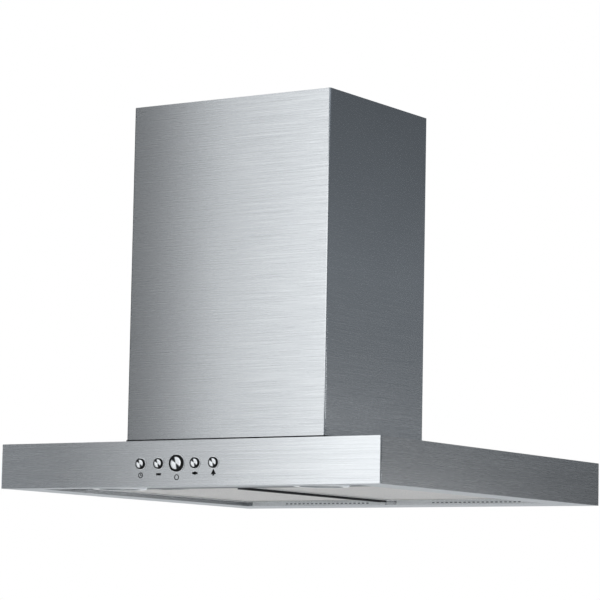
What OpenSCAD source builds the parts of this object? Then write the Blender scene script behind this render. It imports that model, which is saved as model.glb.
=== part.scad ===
// Chimney range hood: a flat square canopy with a rectangular chimney, hung from a
// telescopic ceiling frame inside the chimney. Millimetres, +Z up, X to the right, and
// the control face looks towards -Y. The origin is the middle of the ceiling plate's
// top face, where the hood is fixed.

/* [Canopy] */
// Width of the canopy, left to right
canopy_w = 600; // [560:1:900]
// Depth of the canopy, front to back
canopy_d = 600; // [570:1:700]
// Height of the canopy's sides
canopy_h = 60; // [56:1:90]
// Thickness of the steel sheet
sheet_t = 1; // [0.8:0.1:1.2]
// Outside radius of a folded corner
bend_r = 2; // [1.5:0.1:4]
// Width of the bottom rim along the sides
rim_side = 48; // [40:1:70]
// Width of the bottom rim along the front
rim_front = 30; // [26:1:40]
// Width of the bottom rim along the back
rim_rear = 74; // [66:1:90]
// Height of the upturned lip round the bottom opening
lip_h = 6; // [5:0.5:6]

/* [Front fascia] */
// Open seam between the fascia and the folded body
seam_gap = 1.2; // [0.8:0.1:2]
// Depth of the fascia's folded returns
fascia_return = 14; // [10:1:18]

/* [Lamp panel] */
// How far the lamp panel lies above the rim
panel_recess = 4; // [3.5:0.1:5]
// Depth of the lamp panel, front to back
panel_d = 98; // [96:1:120]
// Distance from the canopy's side to each lamp
lamp_inset = 138; // [120:1:180]
// Distance from the fascia to the lamps
lamp_setback = 82; // [78:1:84]
// Radius of the lamp's trim ring
trim_r = 38; // [34:0.5:40]
// Radius of the lamp's glass
lens_r = 29; // [24:0.5:30]
// Height of the lamp's cooling body
lamp_body_h = 26; // [18:1:34]

/* [Grease filters] */
// How far the filters lie above the rim
filter_recess = 5; // [5:0.5:7]
// Thickness of a filter
filter_t = 9; // [8:0.5:10]
// Width of the filter's folded frame
filter_band = 14; // [10:1:18]
// Thickness of the filter's aluminium strip
filter_strip_t = 1; // [0.8:0.1:1.2]
// Clearance beside each filter
filter_side_gap = 2; // [1.5:0.1:3]
// Width of the seam between the two filters
filter_mid_gap = 4; // [3:0.1:6]
// Radius of the filter's corners
filter_corner_r = 7; // [4:0.5:10]
// Columns of openings across a filter's expanded metal
mesh_columns = 11; // [6:1:12]
// Rows of openings along a filter's expanded metal
mesh_rows = 13; // [8:1:14]
// Drain slots along the filter's rear band
drain_slots = 14; // [6:1:14]

/* [Controls] */
// Distance between neighbouring buttons
button_pitch = 29; // [27:0.5:34]
// Offset of the button row from the middle of the hood
button_row_x = -9; // [-40:1:40]
// Radius of a small button
button_r = 5.8; // [5:0.1:7]
// Radius of the power button
power_button_r = 9.2; // [7:0.1:9.5]
// How far a button stands out of the fascia
button_proud = 3.2; // [3.1:0.1:5]
// Travel of a button
button_travel = 1.2; // [0.8:0.1:1.5]

/* [Chimney] */
// Width of the lower chimney
chimney_w = 318; // [310:1:360]
// Depth of the lower chimney
chimney_d = 252; // [246:1:290]
// Height of the chimney above the canopy
chimney_h = 467; // [440:1:700]
// Distance from the canopy's front to the chimney's front
chimney_setback = 92; // [80:1:130]
// Gap between the lower and the upper chimney
nest_gap = 2; // [1.5:0.1:3]
// Rows of vent slots on each side of the upper chimney
vent_rows = 7; // [4:1:10]

/* [Blower] */
// Radius of the fan wheel
wheel_r = 62; // [54:1:63]
// Width of the fan wheel
wheel_w = 108; // [90:1:112]
// Blades on the fan wheel
blade_count = 36; // [24:1:40]
// Growth of the scroll's radius round the wheel
scroll_growth = 28; // [22:1:30]
// Outer radius of the outlet collar
collar_r = 75; // [62:0.5:75]
// Height of the outlet collar above its flange
collar_h = 45; // [40:1:60]

/* [Hanging frame] */
// Width of each leg of the lower angle bars
angle_w = 25; // [22:1:30]
// Thickness of the angle bars
angle_t = 2; // [1.5:0.1:2.5]
// Thickness of the ceiling plate
plate_t = 3; // [2.5:0.5:4]
// Radius of the ceiling plate's duct hole
duct_hole_r = 85; // [80:1:90]
// Distance between the ceiling slots, left to right
slot_pitch_x = 220; // [212:1:226]
// Distance between the ceiling slots, front to back
slot_pitch_y = 180; // [176:1:184]
// Half the width of a ceiling slot
slot_r = 4; // [3:0.5:5]
// Length of a ceiling slot
slot_len = 16; // [12:1:20]

/* [Hidden] */

// Overrun of every cut past the face it opens
cut = 1;
// Clearance between pieces that touch on the real hood
seat = 0.3;
// Smoothness of large and of small rounds
round_fn = 96;
small_fn = 32;
// Shares of a length
half = 1 / 2;
quarter = half * half;

// Folded body behind the fascia
front_y = -canopy_d * half;
rear_y = canopy_d * half;
shell_front_y = front_y + sheet_t + seam_gap;
shell_d = rear_y - shell_front_y;
shell_mid_y = (rear_y + shell_front_y) * half;
opening_w = canopy_w - 2 * rim_side;
opening_front_y = front_y + rim_front;
opening_rear_y = rear_y - rim_rear;
top_z = canopy_h;

// Chimney and its nested sections
chimney_front_y = front_y + chimney_setback;
chimney_mid_y = chimney_front_y + (chimney_d - sheet_t) * half;
chimney_top_z = top_z + chimney_h;
lower_in_w = chimney_w - 2 * sheet_t;
lower_in_d = chimney_d - 2 * sheet_t - sheet_t;
upper_w = lower_in_w - 2 * nest_gap;
upper_d = lower_in_d - 2 * nest_gap;
upper_in_w = upper_w - 2 * sheet_t;
upper_in_d = upper_d - 2 * sheet_t;
seat_upstand_h = 10;
upper_lift = 3;
upper_bottom_z = top_z + seat_upstand_h + upper_lift;
rear_return_w = 26;
rear_panel_inset = 9;
vent_w = 54;
vent_h = 5;
vent_pitch = 13;
vent_drop = 22;

// Hanging frame: the bars wrap the motor box and clear the upper chimney
frame_gap = 4.5;
frame_w = upper_in_w - 2 * frame_gap;
frame_d = upper_in_d - 2 * frame_gap;
box_w = frame_w - 2 * angle_t - 2 * seat;
box_d = frame_d - 2 * angle_t - 2 * seat;
bar_top_drop = 24;
slide_gap = seat;
plate_w = upper_in_w - 2 * seat;
plate_d = upper_in_d - 2 * seat;
plate_flange_h = 12;
hanger_screw_head_h = 1;
hanger_screw_reach = sheet_t + seat + plate_t;
upper_angle_w = angle_w - angle_t - slide_gap;
upper_bar_rise = 8;
frame_screw_head_h = 1.6;
frame_screw_spacing = 26;
frame_screw_rows = 2;
frame_screw_reach = angle_t + 2 * sheet_t;

// Blower inside the motor box
wheel_gap = 8;
tongue_r = wheel_r + wheel_gap;
scroll_end_r = tongue_r + scroll_growth;
tongue_angle = 75;
scroll_t = 1.5;
scroll_side_gap = 4.5;
scroll_steps = 48;
outlet_inner_x = tongue_r * cos(tongue_angle);
outlet_mid_share = half;
wheel_x = -(outlet_inner_x + scroll_end_r) * outlet_mid_share;
function scroll_r(a) = tongue_r + scroll_growth * (a - tongue_angle) / (360 - tongue_angle);
scroll_floor_gap = 13;
wheel_z = top_z + scroll_floor_gap + scroll_t + scroll_r(270);
scroll_head_gap = 12;
box_top_z = wheel_z + scroll_r(90) + scroll_t + scroll_head_gap + sheet_t;
scroll_top_z = box_top_z - sheet_t;
scroll_in_w = wheel_w + 2 * scroll_side_gap;
scroll_w = scroll_in_w + 2 * scroll_t;
scroll_front_y = chimney_mid_y - scroll_w * half;
scroll_rear_y = chimney_mid_y + scroll_w * half;
inlet_step = 6;
inlet_r = wheel_r - inlet_step;
inlet_ring_t = 1.5;
inlet_ring_lip = 8;
blade_t = 1.2;
blade_depth = 12;
blade_overrun = 1.7;
blade_points = 5;
blade_lean = 24;
ring_t = 2;
disc_t = 2;
hub_r = 12;
hub_len = 18;
shaft_r = 4;
shaft_fit = 0.05;
motor_r = 40;
motor_disc_gap = 12;
motor_len = 64;
motor_flange_r = 47;
motor_flange_t = 3;
motor_cap_len = 6;
motor_cap_drop = 8;
shaft_into_motor = 30;
shaft_nose = 16;
bearing_gap = 0.4;
spider_t = 2.5;
spider_arm_w = 14;
spider_boss_r = 9;
spider_post_r = 4;
spider_post_gap = 12;
spider_post_at = inlet_r + inlet_ring_lip + spider_post_gap;
spider_lip_gap = 1.5;
spider_stand = inlet_ring_lip + spider_lip_gap;
spider_arms = 3;

// Outlet collar and its flaps
collar_t = 1.5;
collar_flange_w = 9;
collar_base_z = box_top_z;
spindle_rise = 24;
spindle_z = collar_base_z + collar_t + spindle_rise;
spindle_r = 1.6;
spindle_short = 0.2;
flap_t = 1;
flap_edge_gap = 0.8;
knuckle_r = 3.2;
knuckle_bore_r = 1.8;
ledge_w = 3;
ledge_t = 0.8;
knuckle_len = 14;
flap_knuckle_shares = [-2, 0, 2];

// Electronics on top of the motor box, in the room beside the collar
ebox_gap = 4;
ebox_room_share = 0.685;
ebox_w = (box_w * half - collar_r - collar_flange_w) * ebox_room_share;
ebox_d = 140;
ebox_h = 38;
ebox_t = 1.6;
ebox_x = -(collar_r + collar_flange_w + ebox_gap + ebox_w * half);
ebox_lid_t = 1.2;
gland_r = 8;
gland_h = 14;
gland_bore_r = 3.6;
gland_nut_r = 11;
gland_nut_h = 5;
gland_nut_sides = 6;
cable_notch_r = 12;
capacitor_r = 17;
capacitor_len = 78;
capacitor_gap = 6;
capacitor_x = collar_r + collar_flange_w + capacitor_r + capacitor_gap;
capacitor_clip_t = 1.5;
capacitor_clip_w = 12;

// Lamp panel
panel_gap = seat;
panel_front_y = opening_front_y + panel_gap;
panel_rear_y = panel_front_y + panel_d;
panel_half_w = opening_w * half - panel_gap;
panel_hook = 8;
panel_hook_z = lip_h + seat;
panel_rear_h = 22;
lamp_x = canopy_w * half - lamp_inset;
lamp_y = front_y + lamp_setback;
lamp_body_r = lens_r + 2;
lamp_hole_r = lamp_body_r + 1;
trim_drop = 2.4;
lens_t = 2;
lens_lift = 0.8;
lamp_fins = 10;
lamp_fin_t = 1.6;
lamp_core_share = 0.6;
screw_r = 2;
screw_head_r = 3.6;
screw_head_h = 1.6;
screw_len = 8;
panel_screw_inset = 14;

// Filters
filter_front_y = panel_rear_y + 2;
hinge_inset = 8;
hinge_y = opening_rear_y - hinge_inset;
hinge_lug = 6;
filter_rear_y = hinge_y - hinge_lug;
filter_d = filter_rear_y - filter_front_y;
filter_mid_y = (filter_rear_y + filter_front_y) * half;
filter_w = (opening_w - 2 * filter_side_gap - filter_mid_gap) * half;
filter_x = (filter_w + filter_mid_gap) * half;
filter_z = filter_recess;
hinge_z = filter_z + filter_t * half;
rod_r = 2;
rod_len = 190;
lug_r = 3.4;
lug_t = 3;
lug_outer_x = 85;
lug_inner_x = 52;
lug_places = [-lug_outer_x, -lug_inner_x, lug_inner_x, lug_outer_x];
bracket_x = (lug_outer_x + lug_inner_x) * half;
bracket_places = [-bracket_x, bracket_x];
bracket_t = 4;
bracket_r = 4.6;
bracket_bore_r = 2.25;
bracket_foot = 14;
bracket_arm_top = 4;
core_gap = 0.3;
mesh_t = 0.8;
mesh_strand = 1.6;
mesh_margin = 7;
drain_slot_w = 6;
drain_slot_h = 2.4;
drain_slot_round_share = 0.9;
drain_pitch = 12;
rail_w = 22;
rail_t = 1;
rail_rib_h = 12;
rail_foot = 12;
rail_gap = seat;

// Filter latch
latch_w = 44;
latch_d = 32;
latch_t = 1.5;
latch_edge = 1;
tongue_w = 24;
tongue_t = 3;
latch_travel = 7;
tongue_short = 1;
tongue_reach = latch_travel - tongue_short;
tongue_len = 24;
tongue_gap = 0.4;
tongue_z = filter_z + filter_t - latch_t - tongue_gap - tongue_t;
grip_w = 20;
grip_d = 12;
latch_slot_gap = 1.6;
grip_grooves = 3;

// Controls
button_z = canopy_h * half;
button_count = 5;
power_index = 2;
bezel_gap = 0.2;
bezel_t = 1.1;
power_bezel_t = 1.7;
bezel_proud = 2.8;
bezel_flange = 1.6;
bezel_flange_t = 1;
bezel_hole_gap = 0.05;
stem_r = 3;
cap_chamfer = 0.7;
cap_dish = 0.5;
housing_end = 22;
housing_w = (button_count - 1) * button_pitch + 2 * housing_end;
housing_h = 38;
housing_d = 27;
housing_t = 2;
housing_post_inset = 6;
board_t = 1.6;
board_setback = 13;
board_y = front_y + board_setback;
switch_w = 6;
switch_body_h = 3.2;
switch_tip_r = 1.7;
switch_tip_h = 0.6;
stem_gap = 0.3;

function button_x(i) = button_row_x + (i - power_index) * button_pitch;
function cap_r(i) = i == power_index ? power_button_r : button_r;
function ring_t_of(i) = i == power_index ? power_bezel_t : bezel_t;

// Flat shape with rounded corners, centred
module rounded_plate(w, d, r) {
    square([w - 2 * r, d], center = true);
    square([w, d - 2 * r], center = true);
    for (x = [-1, 1], y = [-1, 1])
        translate([x * (w * half - r), y * (d * half - r)]) circle(r = r, $fn = small_fn);
}

// Pieces are drawn from the middle of the canopy's bottom rim, and this hangs them
// below the ceiling plate's top face
module hung() {
    translate([0, -chimney_mid_y, -chimney_top_z]) children();
}

// Block from its low corner to its high corner
module span(low, high) {
    translate(low) cube(high - low);
}

// Cylinder lying along Y, from y0 to y1
module along_y(x, z, y0, y1, r, fn = round_fn) {
    translate([x, y0, z]) rotate([-90, 0, 0]) cylinder(r = r, h = y1 - y0, $fn = fn);
}

// Revolved profile whose axis lies along Y and whose height runs towards +Y
module turned_y(x, z, y0, fn = round_fn) {
    translate([x, y0, z]) rotate([-90, 0, 0]) rotate_extrude($fn = fn) children();
}

// Rectangular sheet tube, centred on X, standing on z0
module sheet_tube(w, d, mid_y, z0, z1, r, t) {
    translate([0, mid_y, z0]) difference() {
        linear_extrude(z1 - z0) rounded_plate(w, d, r);
        translate([0, 0, -cut]) linear_extrude(z1 - z0 + 2 * cut)
            rounded_plate(w - 2 * t, d - 2 * t, max(r - t, t * half));
    }
}

module canopy_shell() color("silver") hung() {
    difference() {
        translate([0, shell_mid_y, 0]) linear_extrude(canopy_h)
            rounded_plate(canopy_w, shell_d, bend_r);
        span([-canopy_w * half + sheet_t, shell_front_y - cut, sheet_t],
             [canopy_w * half - sheet_t, rear_y - sheet_t, canopy_h - sheet_t]);
        span([-opening_w * half, opening_front_y, -cut],
             [opening_w * half, opening_rear_y, 2 * sheet_t]);
        span([-box_w * half + sheet_t, chimney_mid_y - box_d * half + sheet_t, canopy_h - 2 * sheet_t],
             [box_w * half - sheet_t, chimney_mid_y + box_d * half - sheet_t, canopy_h + cut]);
    }
    difference() {
        span([-opening_w * half - sheet_t, opening_front_y - sheet_t, 0],
             [opening_w * half + sheet_t, opening_rear_y + sheet_t, lip_h]);
        span([-opening_w * half, opening_front_y, -cut],
             [opening_w * half, opening_rear_y, lip_h + cut]);
    }
}

module front_fascia() color("silver") hung() {
    return_gap = sheet_t + seat;
    difference() {
        union() {
            span([-canopy_w * half, front_y, 0], [canopy_w * half, front_y + sheet_t, canopy_h]);
            span([-canopy_w * half + return_gap, front_y, return_gap],
                 [canopy_w * half - return_gap, front_y + fascia_return, canopy_h - return_gap]);
        }
        span([-canopy_w * half + return_gap + sheet_t, front_y + sheet_t, return_gap + sheet_t],
             [canopy_w * half - return_gap - sheet_t, front_y + fascia_return + cut,
              canopy_h - return_gap - sheet_t]);
        for (i = [0:button_count - 1])
            along_y(button_x(i), button_z, front_y - cut, front_y + sheet_t + cut,
                    bezel_r(i) + bezel_hole_gap);
    }
}

module lamp_panel() color("lightgray") hung() {
    z = panel_recess;
    latch_slot_w = tongue_w + latch_slot_gap;
    difference() {
        union() {
            span([-panel_half_w, panel_front_y, z], [panel_half_w, panel_rear_y, z + sheet_t]);
            span([-panel_half_w, panel_front_y, z],
                 [panel_half_w, panel_front_y + sheet_t, panel_hook_z + sheet_t]);
            span([-panel_half_w, panel_front_y - panel_hook, panel_hook_z],
                 [panel_half_w, panel_front_y + sheet_t, panel_hook_z + sheet_t]);
            for (side = [-1, 1]) {
                span([min(side * panel_half_w, side * (panel_half_w - sheet_t)), panel_front_y, z],
                     [max(side * panel_half_w, side * (panel_half_w - sheet_t)), panel_rear_y,
                      panel_hook_z + sheet_t]);
                span([min(side * (panel_half_w + panel_hook), side * (panel_half_w - sheet_t)),
                      panel_front_y, panel_hook_z],
                     [max(side * (panel_half_w + panel_hook), side * (panel_half_w - sheet_t)),
                      panel_rear_y, panel_hook_z + sheet_t]);
            }
            span([-panel_half_w, panel_rear_y - sheet_t, z],
                 [panel_half_w, panel_rear_y, z + panel_rear_h]);
        }
        for (side = [-1, 1]) {
            translate([side * lamp_x, lamp_y, z - cut])
                cylinder(r = lamp_hole_r, h = sheet_t + 2 * cut, $fn = round_fn);
            span([side * filter_x - latch_slot_w * half, panel_rear_y - sheet_t - cut,
                  tongue_z - 2 * tongue_gap],
                 [side * filter_x + latch_slot_w * half, panel_rear_y + cut,
                  tongue_z + tongue_t + 2 * tongue_gap]);
        }
        for (p = panel_screw_places)
            translate([p[0], p[1], z - cut])
                cylinder(r = screw_r + seat, h = sheet_t + 2 * cut, $fn = small_fn);
    }
}

panel_screw_places = [for (x = [-1, 1], end = [0, 1])
    [x * (panel_half_w - panel_screw_inset),
     end == 0 ? panel_front_y + panel_screw_inset : panel_rear_y - panel_screw_inset]];

module lamp_panel_screws() color("gray") hung() for (p = panel_screw_places)
    translate([p[0], p[1], 0]) {
        translate([0, 0, panel_recess - screw_head_h])
            cylinder(r = screw_head_r, h = screw_head_h, $fn = small_fn);
        translate([0, 0, panel_recess - screw_head_h])
            cylinder(r = screw_r, h = screw_head_h + screw_len, $fn = small_fn);
    }

module lamp_trim(side) color("gainsboro") hung() {
    z = panel_recess;
    inner = lens_r + lens_lift;
    translate([side * lamp_x, lamp_y, z]) rotate_extrude($fn = round_fn) polygon([
        [inner - 2 * lens_lift, -trim_drop], [trim_r - trim_drop, -trim_drop],
        [trim_r - trim_drop * half, -trim_drop * half - trim_drop * quarter], [trim_r, 0],
        [inner, 0], [inner, -lens_lift], [inner - 2 * lens_lift, -lens_lift]]);
}

module lamp_lens(side) color("white", 0.6) hung()
    translate([side * lamp_x, lamp_y, panel_recess - lens_lift])
        cylinder(r = lens_r + lens_lift - core_gap, h = lens_t, $fn = round_fn);

module lamp_body(side) color("dimgray") hung() {
    low = panel_recess - lens_lift + lens_t;
    core_r = lamp_body_r * lamp_core_share;
    translate([side * lamp_x, lamp_y, low]) {
        cylinder(r = lamp_body_r, h = 2 * lens_t, $fn = round_fn);
        cylinder(r = core_r, h = lamp_body_h, $fn = round_fn);
        for (i = [0:lamp_fins - 1])
            rotate([0, 0, i * 360 / lamp_fins])
                span([0, -lamp_fin_t * half, 0], [lamp_body_r - lamp_fin_t, lamp_fin_t * half, lamp_body_h]);
    }
}

module filter_centre_rail() color("gainsboro") hung() {
    z = filter_z + filter_t + rail_gap;
    foot_y = opening_rear_y + sheet_t + rail_gap;
    span([-rail_w * half, panel_rear_y, z], [rail_w * half, foot_y + rail_t, z + rail_t]);
    span([-rail_t * half, panel_rear_y, z], [rail_t * half, foot_y + rail_t, z + rail_rib_h]);
    span([-rail_w * half, foot_y, sheet_t], [rail_w * half, foot_y + rail_t, z + rail_t]);
    span([-rail_w * half, foot_y, sheet_t], [rail_w * half, foot_y + rail_foot, sheet_t + rail_t]);
}

module filter_hinge_brackets() color("gainsboro") hung()
    for (side = [-1, 1], place = bracket_places)
        translate([side * filter_x + place - bracket_t * half, 0, 0]) difference() {
            rotate([90, 0, 90]) linear_extrude(bracket_t) {
                foot_y = opening_rear_y + 2 * sheet_t;
                translate([hinge_y, hinge_z]) circle(r = bracket_r, $fn = small_fn);
                polygon([[hinge_y, lip_h + seat], [foot_y, lip_h + seat], [foot_y, sheet_t],
                         [foot_y + bracket_foot, sheet_t], [foot_y + bracket_foot, hinge_z],
                         [foot_y + bracket_foot * half, hinge_z + bracket_arm_top],
                         [hinge_y, hinge_z + bracket_arm_top]]);
            }
            translate([-cut, hinge_y, hinge_z]) rotate([0, 90, 0])
                cylinder(r = bracket_bore_r, h = bracket_t + 2 * cut, $fn = small_fn);
        }

// The pocket that the latch housing takes out of the frame, mesh and core
module latch_pocket(side, grow) {
    span([side * filter_x - latch_w * half - grow, filter_front_y + latch_edge - grow, filter_z - cut],
         [side * filter_x + latch_w * half + grow, filter_front_y + latch_edge + latch_d + grow,
          filter_z + filter_t + cut]);
}

// Seams beside the pocket: the sheet and the core are laid in three pieces round the latch
module blank_seams(side) {
    y = filter_front_y + latch_edge + latch_d;
    span([side * filter_x - filter_w * half, y, filter_z - cut],
         [side * filter_x + filter_w * half, y + 2 * core_gap, filter_z + filter_t + cut]);
}

module tongue_slot(side) {
    span([side * filter_x - tongue_w * half - tongue_gap, filter_front_y - cut, tongue_z - tongue_gap],
         [side * filter_x + tongue_w * half + tongue_gap, filter_front_y + latch_edge + 2 * latch_t,
          tongue_z + tongue_t + tongue_gap]);
}

module filter_frame(side) color("gainsboro") hung() {
    t = filter_strip_t;
    difference() {
        translate([side * filter_x, filter_mid_y, filter_z]) difference() {
            linear_extrude(filter_t) rounded_plate(filter_w, filter_d, filter_corner_r);
            translate([0, 0, t]) linear_extrude(filter_t - 2 * t)
                rounded_plate(filter_w - 2 * t, filter_d - 2 * t, filter_corner_r - t);
            translate([0, 0, -cut]) linear_extrude(filter_t + 2 * cut)
                rounded_plate(filter_w - 2 * filter_band, filter_d - 2 * filter_band,
                              filter_corner_r * half);
            for (i = [0:drain_slots - 1])
                translate([(i - (drain_slots - 1) * half) * drain_pitch,
                           filter_d * half - filter_band * half, -cut])
                    linear_extrude(t + 2 * cut)
                        rounded_plate(drain_slot_w, drain_slot_h,
                                      drain_slot_h * half * drain_slot_round_share);
        }
        latch_pocket(side, core_gap);
        tongue_slot(side);
    }
    for (place = lug_places)
        translate([side * filter_x + place - lug_t * half, 0, 0]) difference() {
            rotate([90, 0, 90]) linear_extrude(lug_t) {
                translate([hinge_y, hinge_z]) circle(r = lug_r, $fn = small_fn);
                translate([filter_rear_y - t * half, hinge_z - lug_r])
                    square([hinge_lug + t * half, 2 * lug_r]);
            }
            translate([-cut, hinge_y, hinge_z]) rotate([0, 90, 0])
                cylinder(r = rod_r + shaft_fit, h = lug_t + 2 * cut, $fn = small_fn);
        }
}

module filter_hinge_rod(side) color("silver") hung()
    translate([side * filter_x - rod_len * half, hinge_y, hinge_z]) rotate([0, 90, 0])
        cylinder(r = rod_r, h = rod_len, $fn = small_fn);

// Expanded metal: rows of long diamonds, every second row set over by half a step
module filter_mesh(side) color("lightgray") hung() {
    inner_w = filter_w - 2 * filter_strip_t - 2 * core_gap;
    inner_d = filter_d - 2 * filter_strip_t - 2 * core_gap;
    field_w = filter_w - 2 * filter_band - 2 * mesh_margin;
    field_d = filter_d - 2 * filter_band - 2 * mesh_margin;
    step_x = field_w / mesh_columns;
    step_y = field_d / mesh_rows;
    difference() {
        translate([side * filter_x, filter_mid_y, filter_z + filter_strip_t + core_gap]) difference() {
            linear_extrude(mesh_t) rounded_plate(inner_w, inner_d, filter_corner_r - filter_strip_t);
            translate([0, 0, -cut]) linear_extrude(mesh_t + 2 * cut)
                for (r = [0:mesh_rows - 1], c = [0:mesh_columns - 1 - r % 2])
                    translate([(c + (r % 2) * half - (mesh_columns - 1) * half) * step_x,
                               (r - (mesh_rows - 1) * half) * step_y])
                        polygon([[-(step_x - mesh_strand) * half, 0], [0, -(step_y - mesh_strand) * half],
                                 [(step_x - mesh_strand) * half, 0], [0, (step_y - mesh_strand) * half]]);
        }
        latch_pocket(side, 2 * core_gap);
        blank_seams(side);
    }
}

module filter_core(side) color("darkgray") hung() {
    low = filter_strip_t + 2 * core_gap + mesh_t;
    difference() {
        translate([side * filter_x, filter_mid_y, filter_z + low])
            linear_extrude(filter_t - low - filter_strip_t - core_gap)
                rounded_plate(filter_w - 2 * filter_strip_t - 2 * core_gap,
                              filter_d - 2 * filter_strip_t - 2 * core_gap,
                              filter_corner_r - filter_strip_t);
        latch_pocket(side, 2 * core_gap);
        blank_seams(side);
    }
}

module latch_housing(side) color("gainsboro") hung() {
    low = filter_z;
    high = filter_z + filter_t;
    difference() {
        span([side * filter_x - latch_w * half, filter_front_y + latch_edge, low],
             [side * filter_x + latch_w * half, filter_front_y + latch_edge + latch_d, high]);
        span([side * filter_x - latch_w * half + latch_t, filter_front_y + latch_edge + latch_t, low - cut],
             [side * filter_x + latch_w * half - latch_t,
              filter_front_y + latch_edge + latch_d - latch_t, high - latch_t]);
        tongue_slot(side);
    }
}

module latch_slider(side) color("dimgray") hung() {
    grip_y = filter_front_y + latch_edge + latch_t + tongue_gap;
    span([side * filter_x - tongue_w * half, filter_front_y - tongue_reach, tongue_z],
         [side * filter_x + tongue_w * half, filter_front_y - tongue_reach + tongue_len,
          tongue_z + tongue_t]);
    difference() {
        span([side * filter_x - grip_w * half, grip_y, filter_z + tongue_gap],
             [side * filter_x + grip_w * half, grip_y + grip_d, tongue_z + tongue_t]);
        for (i = [1:grip_grooves])
            span([side * filter_x - grip_w, grip_y + (i - quarter) * grip_d / (grip_grooves + 1), filter_z],
                 [side * filter_x + grip_w, grip_y + (i + quarter) * grip_d / (grip_grooves + 1),
                  filter_z + 2 * tongue_gap]);
    }
}

function bezel_r(i) = cap_r(i) + bezel_gap + ring_t_of(i);

module button_bezels() color("black") hung() for (i = [0:button_count - 1])
    turned_y(button_x(i), button_z, front_y - bezel_proud, small_fn * 2) {
        inner = cap_r(i) + bezel_gap;
        behind = bezel_proud + sheet_t;
        polygon([[inner, 0], [bezel_r(i) - bezel_gap, 0], [bezel_r(i), bezel_gap], [bezel_r(i), behind],
                 [bezel_r(i) + bezel_flange, behind], [bezel_r(i) + bezel_flange, behind + bezel_flange_t],
                 [inner, behind + bezel_flange_t]]);
    }

module button(i) color("gainsboro") hung() {
    r = cap_r(i);
    cap_len = button_proud + sheet_t + bezel_flange_t;
    stem_end = board_y - front_y + button_proud
        - switch_body_h - switch_tip_h - stem_gap - button_travel;
    turned_y(button_x(i), button_z, front_y - button_proud, small_fn * 2)
        polygon([[0, cap_dish], [r - 2 * cap_chamfer, 0], [r - cap_chamfer, 0], [r, cap_chamfer],
                 [r, cap_len], [stem_r, cap_len], [stem_r, stem_end], [0, stem_end]]);
}

module control_housing() color("black") hung() {
    back_y = front_y + sheet_t + housing_d;
    difference() {
        span([button_row_x - housing_w * half, front_y + sheet_t, button_z - housing_h * half],
             [button_row_x + housing_w * half, back_y, button_z + housing_h * half]);
        span([button_row_x - housing_w * half + housing_t, front_y, button_z - housing_h * half + housing_t],
             [button_row_x + housing_w * half - housing_t, back_y - housing_t,
              button_z + housing_h * half - housing_t]);
    }
    for (x = [-1, 1], z = [-1, 1])
        along_y(button_row_x + x * (housing_w * half - housing_post_inset),
                button_z + z * (housing_h * half - housing_post_inset),
                board_y + board_t, back_y - housing_t, housing_t, small_fn);
}

module control_board() color("darkgreen") hung()
    span([button_row_x - housing_w * half + housing_t + seat, board_y,
          button_z - housing_h * half + housing_t + seat],
         [button_row_x + housing_w * half - housing_t - seat, board_y + board_t,
          button_z + housing_h * half - housing_t - seat]);

module push_switches() color("dimgray") hung() for (i = [0:button_count - 1]) {
    span([button_x(i) - switch_w * half, board_y - switch_body_h, button_z - switch_w * half],
         [button_x(i) + switch_w * half, board_y, button_z + switch_w * half]);
    along_y(button_x(i), button_z, board_y - switch_body_h - switch_tip_h, board_y - switch_body_h,
            switch_tip_r, small_fn);
}

module motor_box() color("lightgray") hung() {
    low = [-box_w * half, chimney_mid_y - box_d * half];
    high = [box_w * half, chimney_mid_y + box_d * half];
    base_w = lower_in_w - 2 * seat;
    base_d = lower_in_d - 2 * seat;
    difference() {
        union() {
            span([low[0], low[1], top_z], [high[0], high[1], box_top_z]);
            translate([0, chimney_mid_y, top_z]) linear_extrude(seat_upstand_h)
                rounded_plate(base_w, base_d, bend_r);
        }
        difference() {
            translate([0, chimney_mid_y, top_z + sheet_t]) linear_extrude(seat_upstand_h)
                rounded_plate(base_w - 2 * sheet_t, base_d - 2 * sheet_t, bend_r - sheet_t * half);
            span([low[0], low[1], top_z], [high[0], high[1], box_top_z]);
        }
        span([low[0] + sheet_t, low[1] + sheet_t, top_z - cut],
             [high[0] - sheet_t, high[1] - sheet_t, box_top_z - sheet_t]);
        span([wheel_x + outlet_inner_x, scroll_front_y + scroll_t, box_top_z - 2 * sheet_t],
             [wheel_x + scroll_end_r, scroll_rear_y - scroll_t, box_top_z + cut]);
        at_frame_screws() frame_screw_hole();
    }
}

// Outline of the scroll, grown by g: a spiral round the wheel that runs into a straight outlet
function scroll_outline(g) = concat(
    [[outlet_inner_x - g, scroll_top_z - wheel_z]],
    [for (i = [0:scroll_steps])
        let (a = tongue_angle + (360 - tongue_angle) * i / scroll_steps)
        [(scroll_r(a) + g) * cos(a) - (i == 0 ? g * (1 - cos(a)) : 0), (scroll_r(a) + g) * sin(a)]],
    [[scroll_end_r + g, scroll_top_z - wheel_z]]);

// Puts a flat shape drawn in X and Z into the wheel's place, from y0 and t thick
module scroll_slice(y0, t) {
    translate([wheel_x, y0 + t, wheel_z]) rotate([90, 0, 0]) linear_extrude(t) children();
}

module scroll_wrap() color("lightgray") hung()
    difference() {
        scroll_slice(scroll_front_y + scroll_t, scroll_in_w) polygon(scroll_outline(scroll_t));
        scroll_slice(scroll_front_y, scroll_w)
            polygon(concat([[outlet_inner_x, scroll_top_z - wheel_z + cut]],
                           [for (p = scroll_outline(0)) if (p[1] < scroll_top_z - wheel_z) p],
                           [[scroll_end_r, scroll_top_z - wheel_z + cut]]));
    }

module scroll_side(y0) color("lightgray") hung() difference() {
    scroll_slice(y0, scroll_t) polygon(scroll_outline(scroll_t));
    along_y(wheel_x, wheel_z, y0 - cut, y0 + scroll_t + cut, inlet_r + inlet_ring_t + shaft_fit);
}

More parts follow.
